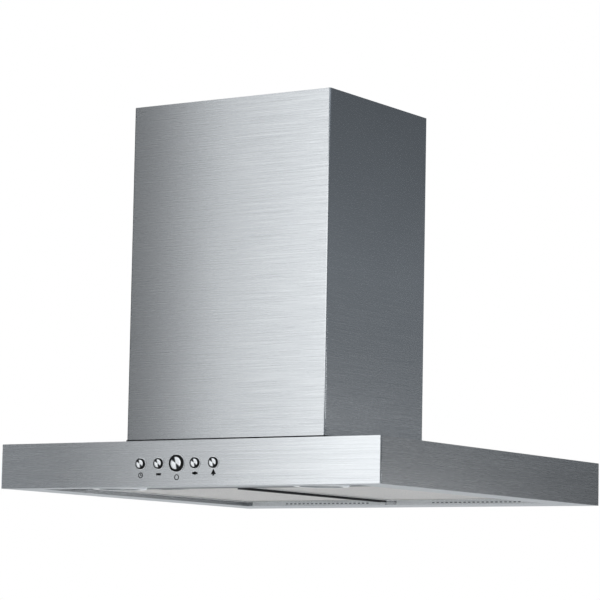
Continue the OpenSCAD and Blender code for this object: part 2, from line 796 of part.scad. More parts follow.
// Rolled bell mouth that leads the air into the wheel
module inlet_ring(y0, facing) color("silver") hung() {
    lip_steps = 6;
    t = inlet_ring_t;
    translate([wheel_x, y0, wheel_z]) rotate([-90 * facing, 0, 0]) rotate_extrude($fn = round_fn)
        polygon(concat(
            [[inlet_r, -t - scroll_t * half], [inlet_r, 0]],
            [for (i = [0:lip_steps]) let (a = 90 * i / lip_steps)
                [inlet_r + (inlet_ring_lip - t) * (1 - cos(a)), (inlet_ring_lip - t) * sin(a)]],
            [[inlet_r + inlet_ring_lip, inlet_ring_lip - t],
             [inlet_r + inlet_ring_lip, inlet_ring_lip - 2 * t],
             [inlet_r + inlet_ring_lip - t, inlet_ring_lip - 2 * t],
             [inlet_r + t + t * half, t * half], [inlet_r + 2 * t, 0],
             [inlet_r + t, 0], [inlet_r + t, -t - scroll_t * half]]));
}

module motor() color("dimgray") hung() {
    y0 = chimney_mid_y + disc_t * half + motor_disc_gap;
    spider_y = scroll_rear_y + spider_stand;
    difference() {
        union() {
            turned_y(wheel_x, wheel_z, y0) polygon([
                [0, 0], [motor_r - motor_cap_drop, 0], [motor_r, motor_cap_len],
                [motor_r, motor_len - motor_cap_len], [motor_r - motor_cap_drop, motor_len],
                [0, motor_len]]);
            along_y(wheel_x, wheel_z, spider_y + spider_t, spider_y + spider_t + motor_flange_t,
                    motor_flange_r);
        }
        along_y(wheel_x, wheel_z, y0 - cut, y0 + shaft_into_motor + bearing_gap, shaft_r + bearing_gap,
                small_fn);
    }
}

module motor_spider() color("silver") hung() {
    y0 = scroll_rear_y + spider_stand;
    difference() {
        union() {
            along_y(wheel_x, wheel_z, y0, y0 + spider_t, motor_flange_r);
            for (i = [0:spider_arms - 1])
                translate([wheel_x, y0 + spider_t, wheel_z]) rotate([90, 0, 0]) linear_extrude(spider_t)
                    rotate(90 + i * 360 / spider_arms) {
                        translate([motor_r + 2 * core_gap, -spider_arm_w * half])
                            square([spider_post_at - motor_r, spider_arm_w]);
                    }
            at_spider_posts() {
                along_y(0, 0, scroll_rear_y, y0 + spider_t * half, spider_post_r, small_fn);
                along_y(0, 0, y0, y0 + spider_t, spider_boss_r, small_fn);
            }
        }
        along_y(wheel_x, wheel_z, y0 - cut, y0 + spider_t + cut, motor_r + core_gap);
    }
}

module at_spider_posts() {
    for (i = [0:spider_arms - 1])
        let (a = 90 + i * 360 / spider_arms)
            translate([wheel_x + spider_post_at * cos(a), 0, wheel_z + spider_post_at * sin(a)]) children();
}

// Gap between two forward-curved blades, drawn right across the wheel's rim
module blade_gap() {
    low_r = wheel_r - blade_depth - blade_overrun;
    high_r = wheel_r + blade_t + blade_overrun;
    blade_turn = asin(blade_t / wheel_r);
    function radius(i) = low_r + (high_r - low_r) * i / blade_points;
    function lean(r) = -blade_lean * pow((wheel_r - r) / blade_depth, 2) * (r < wheel_r ? 1 : -1);
    function edge(r, turn) = [r * cos(lean(r) + turn), r * sin(lean(r) + turn)];
    polygon(concat([for (i = [0:blade_points]) edge(radius(i), blade_turn)],
                   [for (i = [blade_points:-1:0]) edge(radius(i), 360 / blade_count)]));
}

module fan_wheel() color("darkgray") hung() {
    y0 = chimney_mid_y - wheel_w * half;
    span_w = wheel_w * half - ring_t - disc_t * half;
    difference() {
        along_y(wheel_x, wheel_z, y0, y0 + wheel_w, wheel_r + blade_t);
        for (low = [y0 + ring_t, chimney_mid_y + disc_t * half])
            translate([wheel_x, low + span_w, wheel_z]) rotate([90, 0, 0]) linear_extrude(span_w)
                for (i = [0:blade_count - 1]) rotate((i + half) * 360 / blade_count) blade_gap();
        along_y(wheel_x, wheel_z, y0 - cut, chimney_mid_y - disc_t * half, wheel_r - blade_depth);
        along_y(wheel_x, wheel_z, chimney_mid_y + disc_t * half, y0 + wheel_w + cut, wheel_r - blade_depth);
        along_y(wheel_x, wheel_z, chimney_mid_y - disc_t, chimney_mid_y + disc_t, hub_r - cut, small_fn);
    }
    difference() {
        along_y(wheel_x, wheel_z, chimney_mid_y - hub_len * half, chimney_mid_y + hub_len * half,
                hub_r, small_fn);
        along_y(wheel_x, wheel_z, chimney_mid_y - hub_len, chimney_mid_y + hub_len,
                shaft_r + shaft_fit, small_fn);
    }
}

module motor_shaft() color("silver") hung()
    along_y(wheel_x, wheel_z, chimney_mid_y - shaft_nose,
            chimney_mid_y + disc_t * half + motor_disc_gap + shaft_into_motor, shaft_r, small_fn);

module outlet_collar() color("lightgray") hung() {
    ledge_z = spindle_z - collar_base_z - flap_t * half - seat;
    difference() {
        translate([0, chimney_mid_y, collar_base_z]) rotate_extrude($fn = round_fn * 2) {
            inner = collar_r - collar_t;
            polygon([[inner, 0], [collar_r + collar_flange_w, 0], [collar_r + collar_flange_w, collar_t],
                     [collar_r, collar_t], [collar_r, collar_t + collar_h], [inner, collar_t + collar_h],
                     [inner, ledge_z], [inner - ledge_w, ledge_z], [inner - ledge_w, ledge_z - ledge_t],
                     [inner, ledge_z - ledge_t - ledge_w]]);
        }
        along_y(0, spindle_z, chimney_mid_y - collar_r - cut, chimney_mid_y + collar_r + cut,
                spindle_r + shaft_fit, small_fn);
    }
}

module flap_spindle() color("silver") hung()
    along_y(0, spindle_z, chimney_mid_y - collar_r + spindle_short, chimney_mid_y + collar_r - spindle_short,
            spindle_r, small_fn);

// Half round flap on rolled knuckles; side -1 is the left flap, side 1 the right one
module flap(side) color("gainsboro") hung() {
    flap_r = collar_r - collar_t - flap_edge_gap;
    edge = knuckle_r + flap_edge_gap;
    places = [for (p = flap_knuckle_shares) side < 0 ? p : p + 1];
    step = knuckle_len + 2 * flap_edge_gap;
    difference() {
        union() {
            translate([0, chimney_mid_y, spindle_z - flap_t * half]) intersection() {
                cylinder(r = flap_r, h = flap_t, $fn = round_fn);
                span([side < 0 ? -collar_r : edge, -collar_r, 0],
                     [side < 0 ? -edge : collar_r, collar_r, flap_t]);
            }
            for (p = places) {
                y = chimney_mid_y + p * step - knuckle_len * half;
                along_y(0, spindle_z, y, y + knuckle_len, knuckle_r, small_fn);
                span([side < 0 ? -edge - flap_t : 0, y, spindle_z - flap_t * half],
                     [side < 0 ? 0 : edge + flap_t, y + knuckle_len, spindle_z + flap_t * half]);
            }
        }
        along_y(0, spindle_z, chimney_mid_y - collar_r, chimney_mid_y + collar_r, knuckle_bore_r, small_fn);
    }
}

module electronics_box() color("gainsboro") hung() {
    low = [ebox_x - ebox_w * half, chimney_mid_y - ebox_d * half, box_top_z];
    high = [ebox_x + ebox_w * half, chimney_mid_y + ebox_d * half, box_top_z + ebox_h];
    difference() {
        span(low, high);
        span(low + [ebox_t, ebox_t, ebox_t], high + [-ebox_t, -ebox_t, cut]);
    }
}

module electronics_lid() color("silver") hung() {
    z = box_top_z + ebox_h;
    difference() {
        span([ebox_x - ebox_w * half, chimney_mid_y - ebox_d * half, z],
             [ebox_x + ebox_w * half, chimney_mid_y + ebox_d * half, z + ebox_lid_t]);
        translate([ebox_x, chimney_mid_y, z - cut])
            cylinder(r = gland_r + shaft_fit, h = ebox_lid_t + 2 * cut, $fn = small_fn);
    }
}

module cable_gland() color("black") hung() {
    z = box_top_z + ebox_h;
    translate([ebox_x, chimney_mid_y, 0]) difference() {
        union() {
            translate([0, 0, z - gland_nut_h])
                cylinder(r = gland_r, h = gland_nut_h + gland_h, $fn = small_fn);
            translate([0, 0, z + ebox_lid_t])
                cylinder(r = gland_nut_r, h = gland_nut_h, $fn = gland_nut_sides);
        }
        translate([0, 0, z - gland_nut_h - cut])
            cylinder(r = gland_bore_r, h = gland_nut_h + gland_h + 2 * cut, $fn = small_fn);
    }
}

module capacitor() color("white") hung() {
    z = box_top_z + capacitor_r + capacitor_clip_t;
    clip_y = [chimney_mid_y - capacitor_clip_w * half, chimney_mid_y + capacitor_clip_w * half];
    along_y(capacitor_x, z, chimney_mid_y - capacitor_len * half, chimney_mid_y + capacitor_len * half,
            capacitor_r);
    difference() {
        union() {
            along_y(capacitor_x, z, clip_y[0], clip_y[1], capacitor_r + capacitor_clip_t);
            span([capacitor_x - capacitor_r, clip_y[0], box_top_z],
                 [capacitor_x + capacitor_r, clip_y[1], box_top_z + capacitor_clip_t]);
        }
        along_y(capacitor_x, z, chimney_mid_y - capacitor_clip_w, chimney_mid_y + capacitor_clip_w,
                capacitor_r - capacitor_clip_t);
    }
}

// Front and sides folded from one sheet, with returns along the back
module lower_chimney() color("silver") hung() {
    fold_d = chimney_d - sheet_t;
    fold_mid_y = chimney_front_y + fold_d * half;
    z0 = top_z;
    difference() {
        sheet_tube(chimney_w, fold_d, fold_mid_y, z0, chimney_top_z, bend_r, sheet_t);
        span([-chimney_w * half + rear_return_w, fold_mid_y, z0 - cut],
             [chimney_w * half - rear_return_w, chimney_front_y + chimney_d + cut, chimney_top_z + cut]);
        for (p = chimney_screw_places)
            along_y(p[0], p[1], fold_mid_y, chimney_front_y + chimney_d + cut, screw_r + seat, small_fn);
    }
}

chimney_screw_rows = 4;
chimney_screw_inset = 7;
chimney_screw_end = 30;
chimney_screw_places = [for (side = [-1, 1], i = [0:chimney_screw_rows - 1])
    [side * (chimney_w * half - rear_panel_inset - chimney_screw_inset),
     top_z + chimney_screw_end + i * (chimney_h - 2 * chimney_screw_end) / (chimney_screw_rows - 1)]];

module chimney_rear_panel() color("silver") hung() {
    y0 = chimney_front_y + chimney_d - sheet_t;
    difference() {
        span([-chimney_w * half + rear_panel_inset, y0, top_z],
             [chimney_w * half - rear_panel_inset, y0 + sheet_t, chimney_top_z]);
        for (p = chimney_screw_places)
            along_y(p[0], p[1], y0 - cut, y0 + sheet_t + cut, screw_r + shaft_fit, small_fn);
    }
}

module chimney_screws() color("gray") hung() for (p = chimney_screw_places) {
    y0 = chimney_front_y + chimney_d;
    along_y(p[0], p[1], y0, y0 + screw_head_h, screw_head_r, small_fn);
    along_y(p[0], p[1], y0 - 2 * sheet_t, y0, screw_r, small_fn);
}

module upper_chimney() color("silver") hung() difference() {
    sheet_tube(upper_w, upper_d, chimney_mid_y, upper_bottom_z, chimney_top_z, bend_r, sheet_t);
    for (i = [0:vent_rows - 1], side = [-1, 1])
        span([-upper_w * half - cut, chimney_mid_y + side * upper_d * quarter - vent_w * half,
              chimney_top_z - vent_drop - vent_h - i * vent_pitch],
             [upper_w * half + cut, chimney_mid_y + side * upper_d * quarter + vent_w * half,
              chimney_top_z - vent_drop - i * vent_pitch]);
    at_hanger_screws() hanger_screw_hole();
}

// Angle bar in the corner that x and y name, its outer faces at w and d
module angle_bar(x, y, w, d, leg, z0, z1) {
    translate([x * w * half, chimney_mid_y + y * d * half, z0]) mirror([x > 0 ? 1 : 0, 0, 0])
        mirror([0, y > 0 ? 1 : 0, 0]) linear_extrude(z1 - z0)
            polygon([[0, 0], [leg, 0], [leg, angle_t], [angle_t, angle_t], [angle_t, leg], [0, leg]]);
}

bar_low_z = box_top_z - frame_screw_spacing * (frame_screw_rows + 1);
bar_high_z = chimney_top_z - bar_top_drop;
upper_bar_low_z = box_top_z + upper_bar_rise;
frame_screw_levels = [for (i = [0:frame_screw_rows - 1]) box_top_z - frame_screw_spacing * (i + half)];
upper_frame_w = frame_w - 2 * angle_t - 2 * slide_gap;
upper_frame_d = frame_d - 2 * angle_t - 2 * slide_gap;

module lower_frame_bars() color("lightgray") hung() difference() {
    for (x = [-1, 1], y = [-1, 1]) angle_bar(x, y, frame_w, frame_d, angle_w, bar_low_z, bar_high_z);
    at_frame_screws() frame_screw_hole();
}

module frame_screw_hole() {
    translate([0, 0, -frame_screw_reach - cut])
        cylinder(r = screw_r + shaft_fit, h = frame_screw_reach + 2 * cut, $fn = small_fn);
}

module upper_frame_bars() color("lightgray") hung()
    for (x = [-1, 1], y = [-1, 1])
        angle_bar(x, y, upper_frame_w, upper_frame_d, upper_angle_w, upper_bar_low_z,
                  chimney_top_z - plate_t);

// Places of the screws that hold the upper chimney to the plate's flanges
module at_hanger_screws() {
    for (x = [-1, 1], y = [-1, 1])
        translate([x * upper_w * half, chimney_mid_y + y * upper_d * quarter,
                   chimney_top_z - plate_t - plate_flange_h * half]) rotate([0, x * 90, 0]) children();
}

module hanger_screw_hole() {
    translate([0, 0, -hanger_screw_reach - cut])
        cylinder(r = screw_r + shaft_fit, h = hanger_screw_reach + 2 * cut, $fn = small_fn);
}

module hanger_screws() color("gray") hung() at_hanger_screws() {
    cylinder(r = screw_head_r, h = hanger_screw_head_h, $fn = small_fn);
    translate([0, 0, -hanger_screw_reach]) cylinder(r = screw_r, h = hanger_screw_reach, $fn = small_fn);
}

// Notch beside the duct hole, where the mains cable comes down to its gland
module cable_notch() {
    linear_extrude(plate_t + 2 * cut) {
        translate([ebox_x, 0]) circle(r = cable_notch_r, $fn = small_fn);
        translate([ebox_x, -cable_notch_r]) square([-ebox_x - duct_hole_r * half, 2 * cable_notch_r]);
    }
}

module ceiling_plate() color("lightgray") hung() difference() {
    translate([0, chimney_mid_y, chimney_top_z - plate_t - plate_flange_h]) difference() {
        translate([-plate_w * half, -plate_d * half, 0]) cube([plate_w, plate_d, plate_t + plate_flange_h]);
        translate([-plate_w * half + plate_t, -plate_d * half + plate_t, -cut])
            cube([plate_w - 2 * plate_t, plate_d - 2 * plate_t, plate_flange_h + cut]);
        translate([0, 0, plate_flange_h - cut]) {
            cylinder(r = duct_hole_r, h = plate_t + 2 * cut, $fn = round_fn);
            cable_notch();
            for (x = [-1, 1], y = [-1, 1]) translate([x * slot_pitch_x * half, y * slot_pitch_y * half, 0])
                linear_extrude(plate_t + 2 * cut) {
                    square([slot_len - 2 * slot_r, 2 * slot_r], center = true);
                    for (end = [-1, 1]) translate([end * (slot_len * half - slot_r), 0])
                        circle(r = slot_r, $fn = small_fn);
                }
        }
    }
    at_hanger_screws() hanger_screw_hole();
}

// Puts a part of a frame screw at each place, with its axis pointing out of the frame
module at_frame_screws() {
    for (x = [-1, 1], y = [-1, 1], z = frame_screw_levels)
        translate([x * frame_w * half, chimney_mid_y + y * (frame_d - angle_w) * half, z])
            rotate([0, x * 90, 0]) children();
}

module frame_screws() color("gray") hung() at_frame_screws() {
    cylinder(r = screw_head_r, h = frame_screw_head_h, $fn = small_fn);
    translate([0, 0, -frame_screw_reach]) cylinder(r = screw_r, h = frame_screw_reach, $fn = small_fn);
}

canopy_shell();
front_fascia();
lamp_panel();
filter_centre_rail();
filter_hinge_brackets();
lamp_trim(-1);  // lamp_trim_left
lamp_trim(1);  // lamp_trim_right
lamp_lens(-1);  // lamp_lens_left
lamp_lens(1);  // lamp_lens_right
lamp_body(-1);  // lamp_body_left
lamp_body(1);  // lamp_body_right
lamp_panel_screws();
button_bezels();
control_housing();
control_board();
push_switches();
button(0);  // button_timer
button(1);  // button_minus
button(2);  // button_power
button(3);  // button_plus
button(4);  // button_light
filter_frame(-1);  // filter_frame_left
filter_frame(1);  // filter_frame_right
filter_mesh(-1);  // filter_mesh_left
filter_mesh(1);  // filter_mesh_right
filter_core(-1);  // filter_core_left
filter_core(1);  // filter_core_right
filter_hinge_rod(-1);  // filter_hinge_rod_left
filter_hinge_rod(1);  // filter_hinge_rod_right
latch_housing(-1);  // latch_housing_left
latch_housing(1);  // latch_housing_right
latch_slider(-1);  // latch_slider_left
latch_slider(1);  // latch_slider_right
motor_box();
scroll_wrap();
scroll_side(scroll_front_y);  // scroll_side_front
scroll_side(scroll_rear_y - scroll_t);  // scroll_side_rear
inlet_ring(scroll_front_y, -1);  // inlet_ring_front
inlet_ring(scroll_rear_y, 1);  // inlet_ring_rear
motor();
motor_spider();
fan_wheel();
motor_shaft();
outlet_collar();
flap_spindle();
flap(-1);  // flap_left
flap(1);  // flap_right
electronics_box();
electronics_lid();
cable_gland();
capacitor();
lower_chimney();
chimney_rear_panel();
chimney_screws();
upper_chimney();
lower_frame_bars();
upper_frame_bars();
ceiling_plate();
frame_screws();
hanger_screws();
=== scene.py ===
"""Ceiling-hung chimney range hood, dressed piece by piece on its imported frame."""

import logging
import math
from abc import ABC, abstractmethod
from collections.abc import Callable, Iterable, Iterator
from contextlib import contextmanager
from dataclasses import dataclass
from enum import Enum
from functools import cached_property

import bpy
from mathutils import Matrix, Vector


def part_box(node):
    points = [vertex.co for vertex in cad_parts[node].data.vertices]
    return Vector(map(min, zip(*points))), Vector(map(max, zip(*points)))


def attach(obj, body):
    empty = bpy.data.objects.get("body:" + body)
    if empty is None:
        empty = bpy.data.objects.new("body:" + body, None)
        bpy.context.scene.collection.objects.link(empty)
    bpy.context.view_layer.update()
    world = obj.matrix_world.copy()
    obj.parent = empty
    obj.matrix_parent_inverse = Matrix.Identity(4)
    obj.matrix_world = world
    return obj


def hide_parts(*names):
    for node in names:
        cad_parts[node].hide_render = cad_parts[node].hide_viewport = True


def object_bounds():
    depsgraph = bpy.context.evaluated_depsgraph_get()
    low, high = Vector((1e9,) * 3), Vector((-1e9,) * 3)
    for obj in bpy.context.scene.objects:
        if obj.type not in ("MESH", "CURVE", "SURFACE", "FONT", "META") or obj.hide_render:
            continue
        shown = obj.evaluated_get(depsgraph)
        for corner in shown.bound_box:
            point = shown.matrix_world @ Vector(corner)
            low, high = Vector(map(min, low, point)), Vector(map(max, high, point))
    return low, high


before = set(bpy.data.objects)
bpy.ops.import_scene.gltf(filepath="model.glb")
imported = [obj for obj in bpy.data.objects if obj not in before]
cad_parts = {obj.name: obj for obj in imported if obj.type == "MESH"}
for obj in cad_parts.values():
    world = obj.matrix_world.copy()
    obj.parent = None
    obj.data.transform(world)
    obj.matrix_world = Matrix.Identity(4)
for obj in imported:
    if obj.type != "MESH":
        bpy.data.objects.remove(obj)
CAD_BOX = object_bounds()
LOG = logging.getLogger("range_hood")
MM = 0.001
# Heights of the canopy's rim and of the chimney's two ends
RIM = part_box("canopy_shell")[0].z
FOOT, CEILING = (corner.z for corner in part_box("lower_chimney"))
# Noise keeps to the middle of its range, so tone and gloss are spread over this stretch of it
NOISE_SPAN = (0.3, 0.7)
UP, DOWN = Vector((0, 0, 1)), Vector((0, 0, -1))
BACK, FRONT = Vector((0, 1, 0)), Vector((0, -1, 0))
# Share of its normal that a face of a blank has along an axis when it counts as looking that way
SQUARE_ON = 0.99
# Turn that lays a round blank along y
LYING = (math.pi / 2, 0.0, 0.0)
# Points of a new mesh that lie closer than this are one
WELD = 0.001 * MM

Pair = tuple[float, float]
Triple = tuple[float, float, float]
Node = bpy.types.Node
Socket = bpy.types.NodeSocket
Feeds = dict[str | int, object]
Sockets = bpy.types.bpy_prop_collection
Material = bpy.types.Material
FaceTest = Callable[[bpy.types.MeshPolygon], bool]


def linear(colour: str) -> tuple[float, float, float, float]:
    """Turns an sRGB hex colour into linear light.

    Args:
        colour: The colour as "#rrggbb".

    Returns:
        Red, green, blue and an alpha of one.
    """
    def channel(text: str) -> float:
        """Returns one channel in linear light."""
        share = int(text, 16) / 255
        return share / 12.92 if share <= 0.04045 else ((share + 0.055) / 1.055) ** 2.4
    return channel(colour[1:3]), channel(colour[3:5]), channel(colour[5:7]), 1.0


class Shader:
    """A node tree, with the one way to add a node to it.

    A Mix node blends numbers in its sockets 2 and 3 into its output 0, vectors in 4 and 5 into output 1,
    and colours in 6 and 7 into output 2.
    """

    def __init__(self, tree: bpy.types.NodeTree) -> None:
        """Opens a tree and adds the texture coordinates.

        Args:
            tree: A material's or the world's tree.
        """
        self.tree = tree
        self.coordinates = self.add("ShaderNodeTexCoord").outputs
        self.place = self.coordinates["Object"]

    def add(self, kind: str, inputs: Feeds | None = None, stops: Iterable[tuple[float, str]] = (),
            **settings: object) -> Node:
        """Adds a node.

        Args:
            kind: Blender's name of the node's type.
            inputs: Its sockets by name or place, with what each gets.
            stops: Places and colours of a ramp's stops.
            settings: Attributes of the node and their values.

        Returns:
            The new node.
        """
        node = self.tree.nodes.new(kind)
        for name, value in settings.items():
            setattr(node, name, value)
        for number, (place, colour) in enumerate(stops):
            stop = node.color_ramp.elements[number]
            stop.position, stop.color = place, linear(colour)
        self.feed(node, inputs or {})
        return node

    def feed(self, node: Node, inputs: Feeds) -> None:
        """Fills some sockets of a node.

        Args:
            node: The node.
            inputs: Its sockets by name or place, each with a value, with the socket that feeds it, or
                with the node whose first output does.
        """
        for name, value in inputs.items():
            source = value.outputs[0] if isinstance(value, Node) else value
            if isinstance(source, Socket):
                self.tree.links.new(source, node.inputs[name])
            else:
                node.inputs[name].default_value = source


class Coat(Shader):
    """A Principled material in the making."""

    def __init__(self, name: str, sockets: Feeds) -> None:
        """Starts the material.

        Args:
            name: The finish's plain name.
            sockets: Principled sockets that are constant, and their values.
        """
        self.material = bpy.data.materials.new(name)
        self.material.use_nodes = True
        super().__init__(self.material.node_tree)
        self.principled = self.tree.nodes["Principled BSDF"]
        self.feed(self.principled, sockets)

    def done(self, sockets: Feeds) -> Material:
        """Feeds the Principled sockets that vary, and returns the material."""
        self.feed(self.principled, sockets)
        return self.material


class Recipe(ABC):
    """How a finish is made."""

    @abstractmethod
    def build(self) -> Material:
        """Makes the material.

        Returns:
            The finished material.
        """

    @cached_property
    def material(self) -> Material:
        """The material, made once, when it is first used."""
        return self.build()


class Grain(Enum):
    """Axes along which the scratches run long, first on upright faces and then on flat ones."""

    ACROSS = ("xy", "xz")
    ALONG_X = ("x", "x")
    ALONG_Y = ("y", "y")


@dataclass(frozen=True)
class BrushedSteel(Recipe):
    """Stainless steel sheet, belt brushed: long fine scratches that stretch each highlight across them."""

    name: str
    light: str = "#cdd0d2"
    dark: str = "#babdc0"
    roughness: float = 0.26
    roughness_swing: float = 0.08
    # A real scratch is about 0.1 mm wide, and is drawn coarser here so that it shows
    scratch_width: float = 1.5
    scratch_length: float = 120.0
    scratch_depth: float = 0.2
    bump: float = 0.12
    grain: Grain = Grain.ACROSS
    # Finer hairs lie between the scratches: their size as a share, and their part in the pattern
    hair_size: float = 0.45
    hair_weight: float = 0.45
    # Soft clouds of tone lie over both
    cloud: float = 160.0
    cloud_weight: float = 0.2
    # Painted light and shade along the front, darker towards the left: both tones, and where along x they
    # change
    front_painted_light: Pair = (1.0, 1.0)
    painted_fade: Pair = (-300.0, 0.0)
    # Painted light at the canopy's left end, which brightens over the last stretch
    end_painted_light: float = 1.0
    end_width: float = 100.0
    # Painted light and shade up the right-hand side: its tone at the foot, halfway up and at the top
    side_painted_light: Triple = (1.0, 1.0, 1.0)
    # Heights of that foot and top in metres
    side_heights: Pair = (0.0, 1.0)
    # Faces that look down keep the mill's rougher finish, and their colour is scaled darker: painted shade
    under_painted_shade: float = 1.0
    under_roughness: float = 0.26
    # Share of its normal from which a face counts as a side or an underside, and as flat
    square_on: float = 0.9
    flat_from: float = 0.7

    def build(self) -> Material:
        """Makes the material.

        Returns:
            The finished material.
        """
        steel = Coat(self.name, {"Metallic": 1.0})
        facing = steel.add("ShaderNodeSeparateXYZ", {0: steel.coordinates["Normal"]}).outputs
        scratches = steel.add("ShaderNodeMix", {
            0: self.hair_weight, 2: self._scratches(steel, facing, 1.0),
            3: self._scratches(steel, facing, self.hair_size)})
        clouds = steel.add("ShaderNodeTexNoise", {"Vector": steel.place, "Scale": 1 / (self.cloud * MM)})
        tone = steel.add("ShaderNodeMix", {0: self.cloud_weight, 2: scratches, 3: clouds})
        colours = steel.add("ShaderNodeValToRGB", {"Fac": tone}, zip(NOISE_SPAN, (self.dark, self.light)))
        polish = steel.add("ShaderNodeMapRange", {
            "Value": scratches, "From Min": NOISE_SPAN[0], "From Max": NOISE_SPAN[1],
            "To Min": self.roughness + self.roughness_swing / 2,
            "To Max": self.roughness - self.roughness_swing / 2})
        is_under = steel.add("ShaderNodeMath", {0: facing["Z"], 1: -self.square_on}, operation="LESS_THAN")
        # The upright faces get painted light and shade, and the undersides painted shade
        painted_tone = steel.add("ShaderNodeMix", {
            0: is_under, 2: self._painted_wall_light(steel, facing), 3: self.under_painted_shade})
        shaded = steel.add("ShaderNodeVectorMath", {0: colours, "Scale": painted_tone}, operation="SCALE")
        rubbed = steel.add("ShaderNodeMix", {0: is_under, 2: polish, 3: self.under_roughness})
        relief = steel.add("ShaderNodeBump", {
            "Height": scratches, "Strength": self.bump, "Distance": self.scratch_depth * MM})
        return steel.done({"Base Color": shaded, "Roughness": rubbed, "Normal": relief})

    def _painted_wall_light(self, steel: Coat, facing: Sockets) -> Node:
        """Adds the painted light and shade of the upright faces.

        Args:
            steel: The material in the making.
            facing: The normal's X, Y and Z.

        Returns:
            The node with the painted tone, along the front and up the right-hand side.
        """
        place = steel.add("ShaderNodeSeparateXYZ", {0: steel.place}).outputs
        painted_fade = steel.add("ShaderNodeMapRange", {
            "Value": place["X"], "From Min": self.painted_fade[0] * MM, "From Max": self.painted_fade[1] * MM,
            "To Min": self.front_painted_light[0], "To Max": self.front_painted_light[1]}, interpolation_type="SMOOTHSTEP")
        left = CAD_BOX[0][0]
        end = steel.add("ShaderNodeMapRange", {
            "Value": place["X"], "From Min": left, "From Max": left + self.end_width * MM,
            "To Min": self.end_painted_light, "To Max": 1.0})
        front = steel.add("ShaderNodeMath", {0: painted_fade, 1: end}, operation="MULTIPLY")
        foot, top = self.side_heights
        middle = (foot + top) / 2
        foot_tone, middle_tone, top_tone = self.side_painted_light
        lower = steel.add("ShaderNodeMapRange", {
            "Value": place["Z"], "From Min": foot, "From Max": middle,
            "To Min": foot_tone, "To Max": middle_tone})
        upper = steel.add("ShaderNodeMapRange", {
            "Value": place["Z"], "From Min": middle, "From Max": top,
            "To Min": 1.0, "To Max": top_tone / middle_tone})
        side = steel.add("ShaderNodeMath", {0: lower, 1: upper}, operation="MULTIPLY")
        is_side = steel.add("ShaderNodeMath", {0: facing["X"], 1: self.square_on}, operation="GREATER_THAN")
        return steel.add("ShaderNodeMix", {0: is_side, 2: front, 3: side})

    def _scratches(self, steel: Coat, facing: Sockets, share: float) -> Node:
        """Adds noise drawn out along the brushing.

        Args:
            steel: The material in the making.
            facing: The normal's X, Y and Z.
            share: Size of the scratches as a share of the usual one.

        Returns:
            The node with the noise.
        """
        fast, slow = (1 / (size * share * MM) for size in (self.scratch_width, self.scratch_length))
        scales = [[slow if axis in long else fast for axis in "xyz"] for long in self.grain.value]
        on_wall, on_flat = (steel.add("ShaderNodeMapping", {"Vector": steel.place, "Scale": scale})
                            for scale in scales)
        slope = steel.add("ShaderNodeMath", {0: facing["Z"]}, operation="ABSOLUTE")
        is_flat = steel.add("ShaderNodeMath", {0: slope, 1: self.flat_from}, operation="GREATER_THAN")
        place = steel.add("ShaderNodeMix", {0: is_flat, 4: on_wall, 5: on_flat}, data_type="VECTOR")
        return steel.add("ShaderNodeTexNoise", {"Vector": place.outputs[1], "Scale": 1.0, "Detail": 3.0})


@dataclass(frozen=True)
class ZincSheet(Recipe):
    """Hot-dip galvanised sheet: flat crystals of zinc, each a little lighter or duller than the next."""

    name: str
    crystal: float = 9.0
    light: str = "#c2c6c8"
    dark: str = "#9ba1a4"
    gloss: Pair = (0.32, 0.52)
    # How far noise bends the crystals' edges, as a share
    warp: float = 0.004

    def build(self) -> Material:
        """Makes the material.

        Returns:
            The finished material.
        """
        sheet = Coat(self.name, {"Metallic": 1.0})
        scale = 1 / (self.crystal * MM)
        noise = sheet.add("ShaderNodeTexNoise", {"Vector": sheet.place, "Scale": scale})
        bent = sheet.add("ShaderNodeMix", {
            0: self.warp, 4: sheet.place, 5: noise.outputs["Color"]}, data_type="VECTOR")
        crystals = sheet.add("ShaderNodeTexVoronoi", {"Vector": bent.outputs[1], "Scale": scale})
        shade = sheet.add("ShaderNodeSeparateColor", {0: crystals.outputs["Color"]}).outputs
        colours = sheet.add("ShaderNodeValToRGB", {"Fac": shade[0]}, ((0.0, self.dark), (1.0, self.light)))
        gloss = sheet.add("ShaderNodeMapRange", {
            "Value": shade[1], "To Min": self.gloss[0], "To Max": self.gloss[1]})
        return sheet.done({"Base Color": colours, "Roughness": gloss})


@dataclass(frozen=True)
class SpottedMetal(Recipe):
    """Metal with a fine random surface, such as a casting's grit or the haze on plating."""

    name: str
    light: str
    dark: str
    roughness: float
    swing: float = 0.06
    # Size and depth of the grit in millimetres
    grit: float = 1.2
    depth: float = 0.3
    bump: float = 0.05
    metal: float = 1.0
    span: Pair = (0.35, 0.65)

    def build(self) -> Material:
        """Makes the material.

        Returns:
            The finished material.
        """
        metal = Coat(self.name, {"Metallic": self.metal})
        grit = metal.add("ShaderNodeTexNoise", {
            "Vector": metal.place, "Scale": 1 / (self.grit * MM), "Detail": 4.0, "Roughness": 0.6})
        colours = metal.add("ShaderNodeValToRGB", {"Fac": grit}, zip(self.span, (self.dark, self.light)))
        gloss = metal.add("ShaderNodeMapRange", {
            "Value": grit, "From Min": self.span[0], "From Max": self.span[1],
            "To Min": self.roughness - self.swing, "To Max": self.roughness + self.swing})
        relief = metal.add("ShaderNodeBump", {
            "Height": grit, "Strength": self.bump, "Distance": self.depth * MM})
        return metal.done({"Base Color": colours, "Roughness": gloss, "Normal": relief})


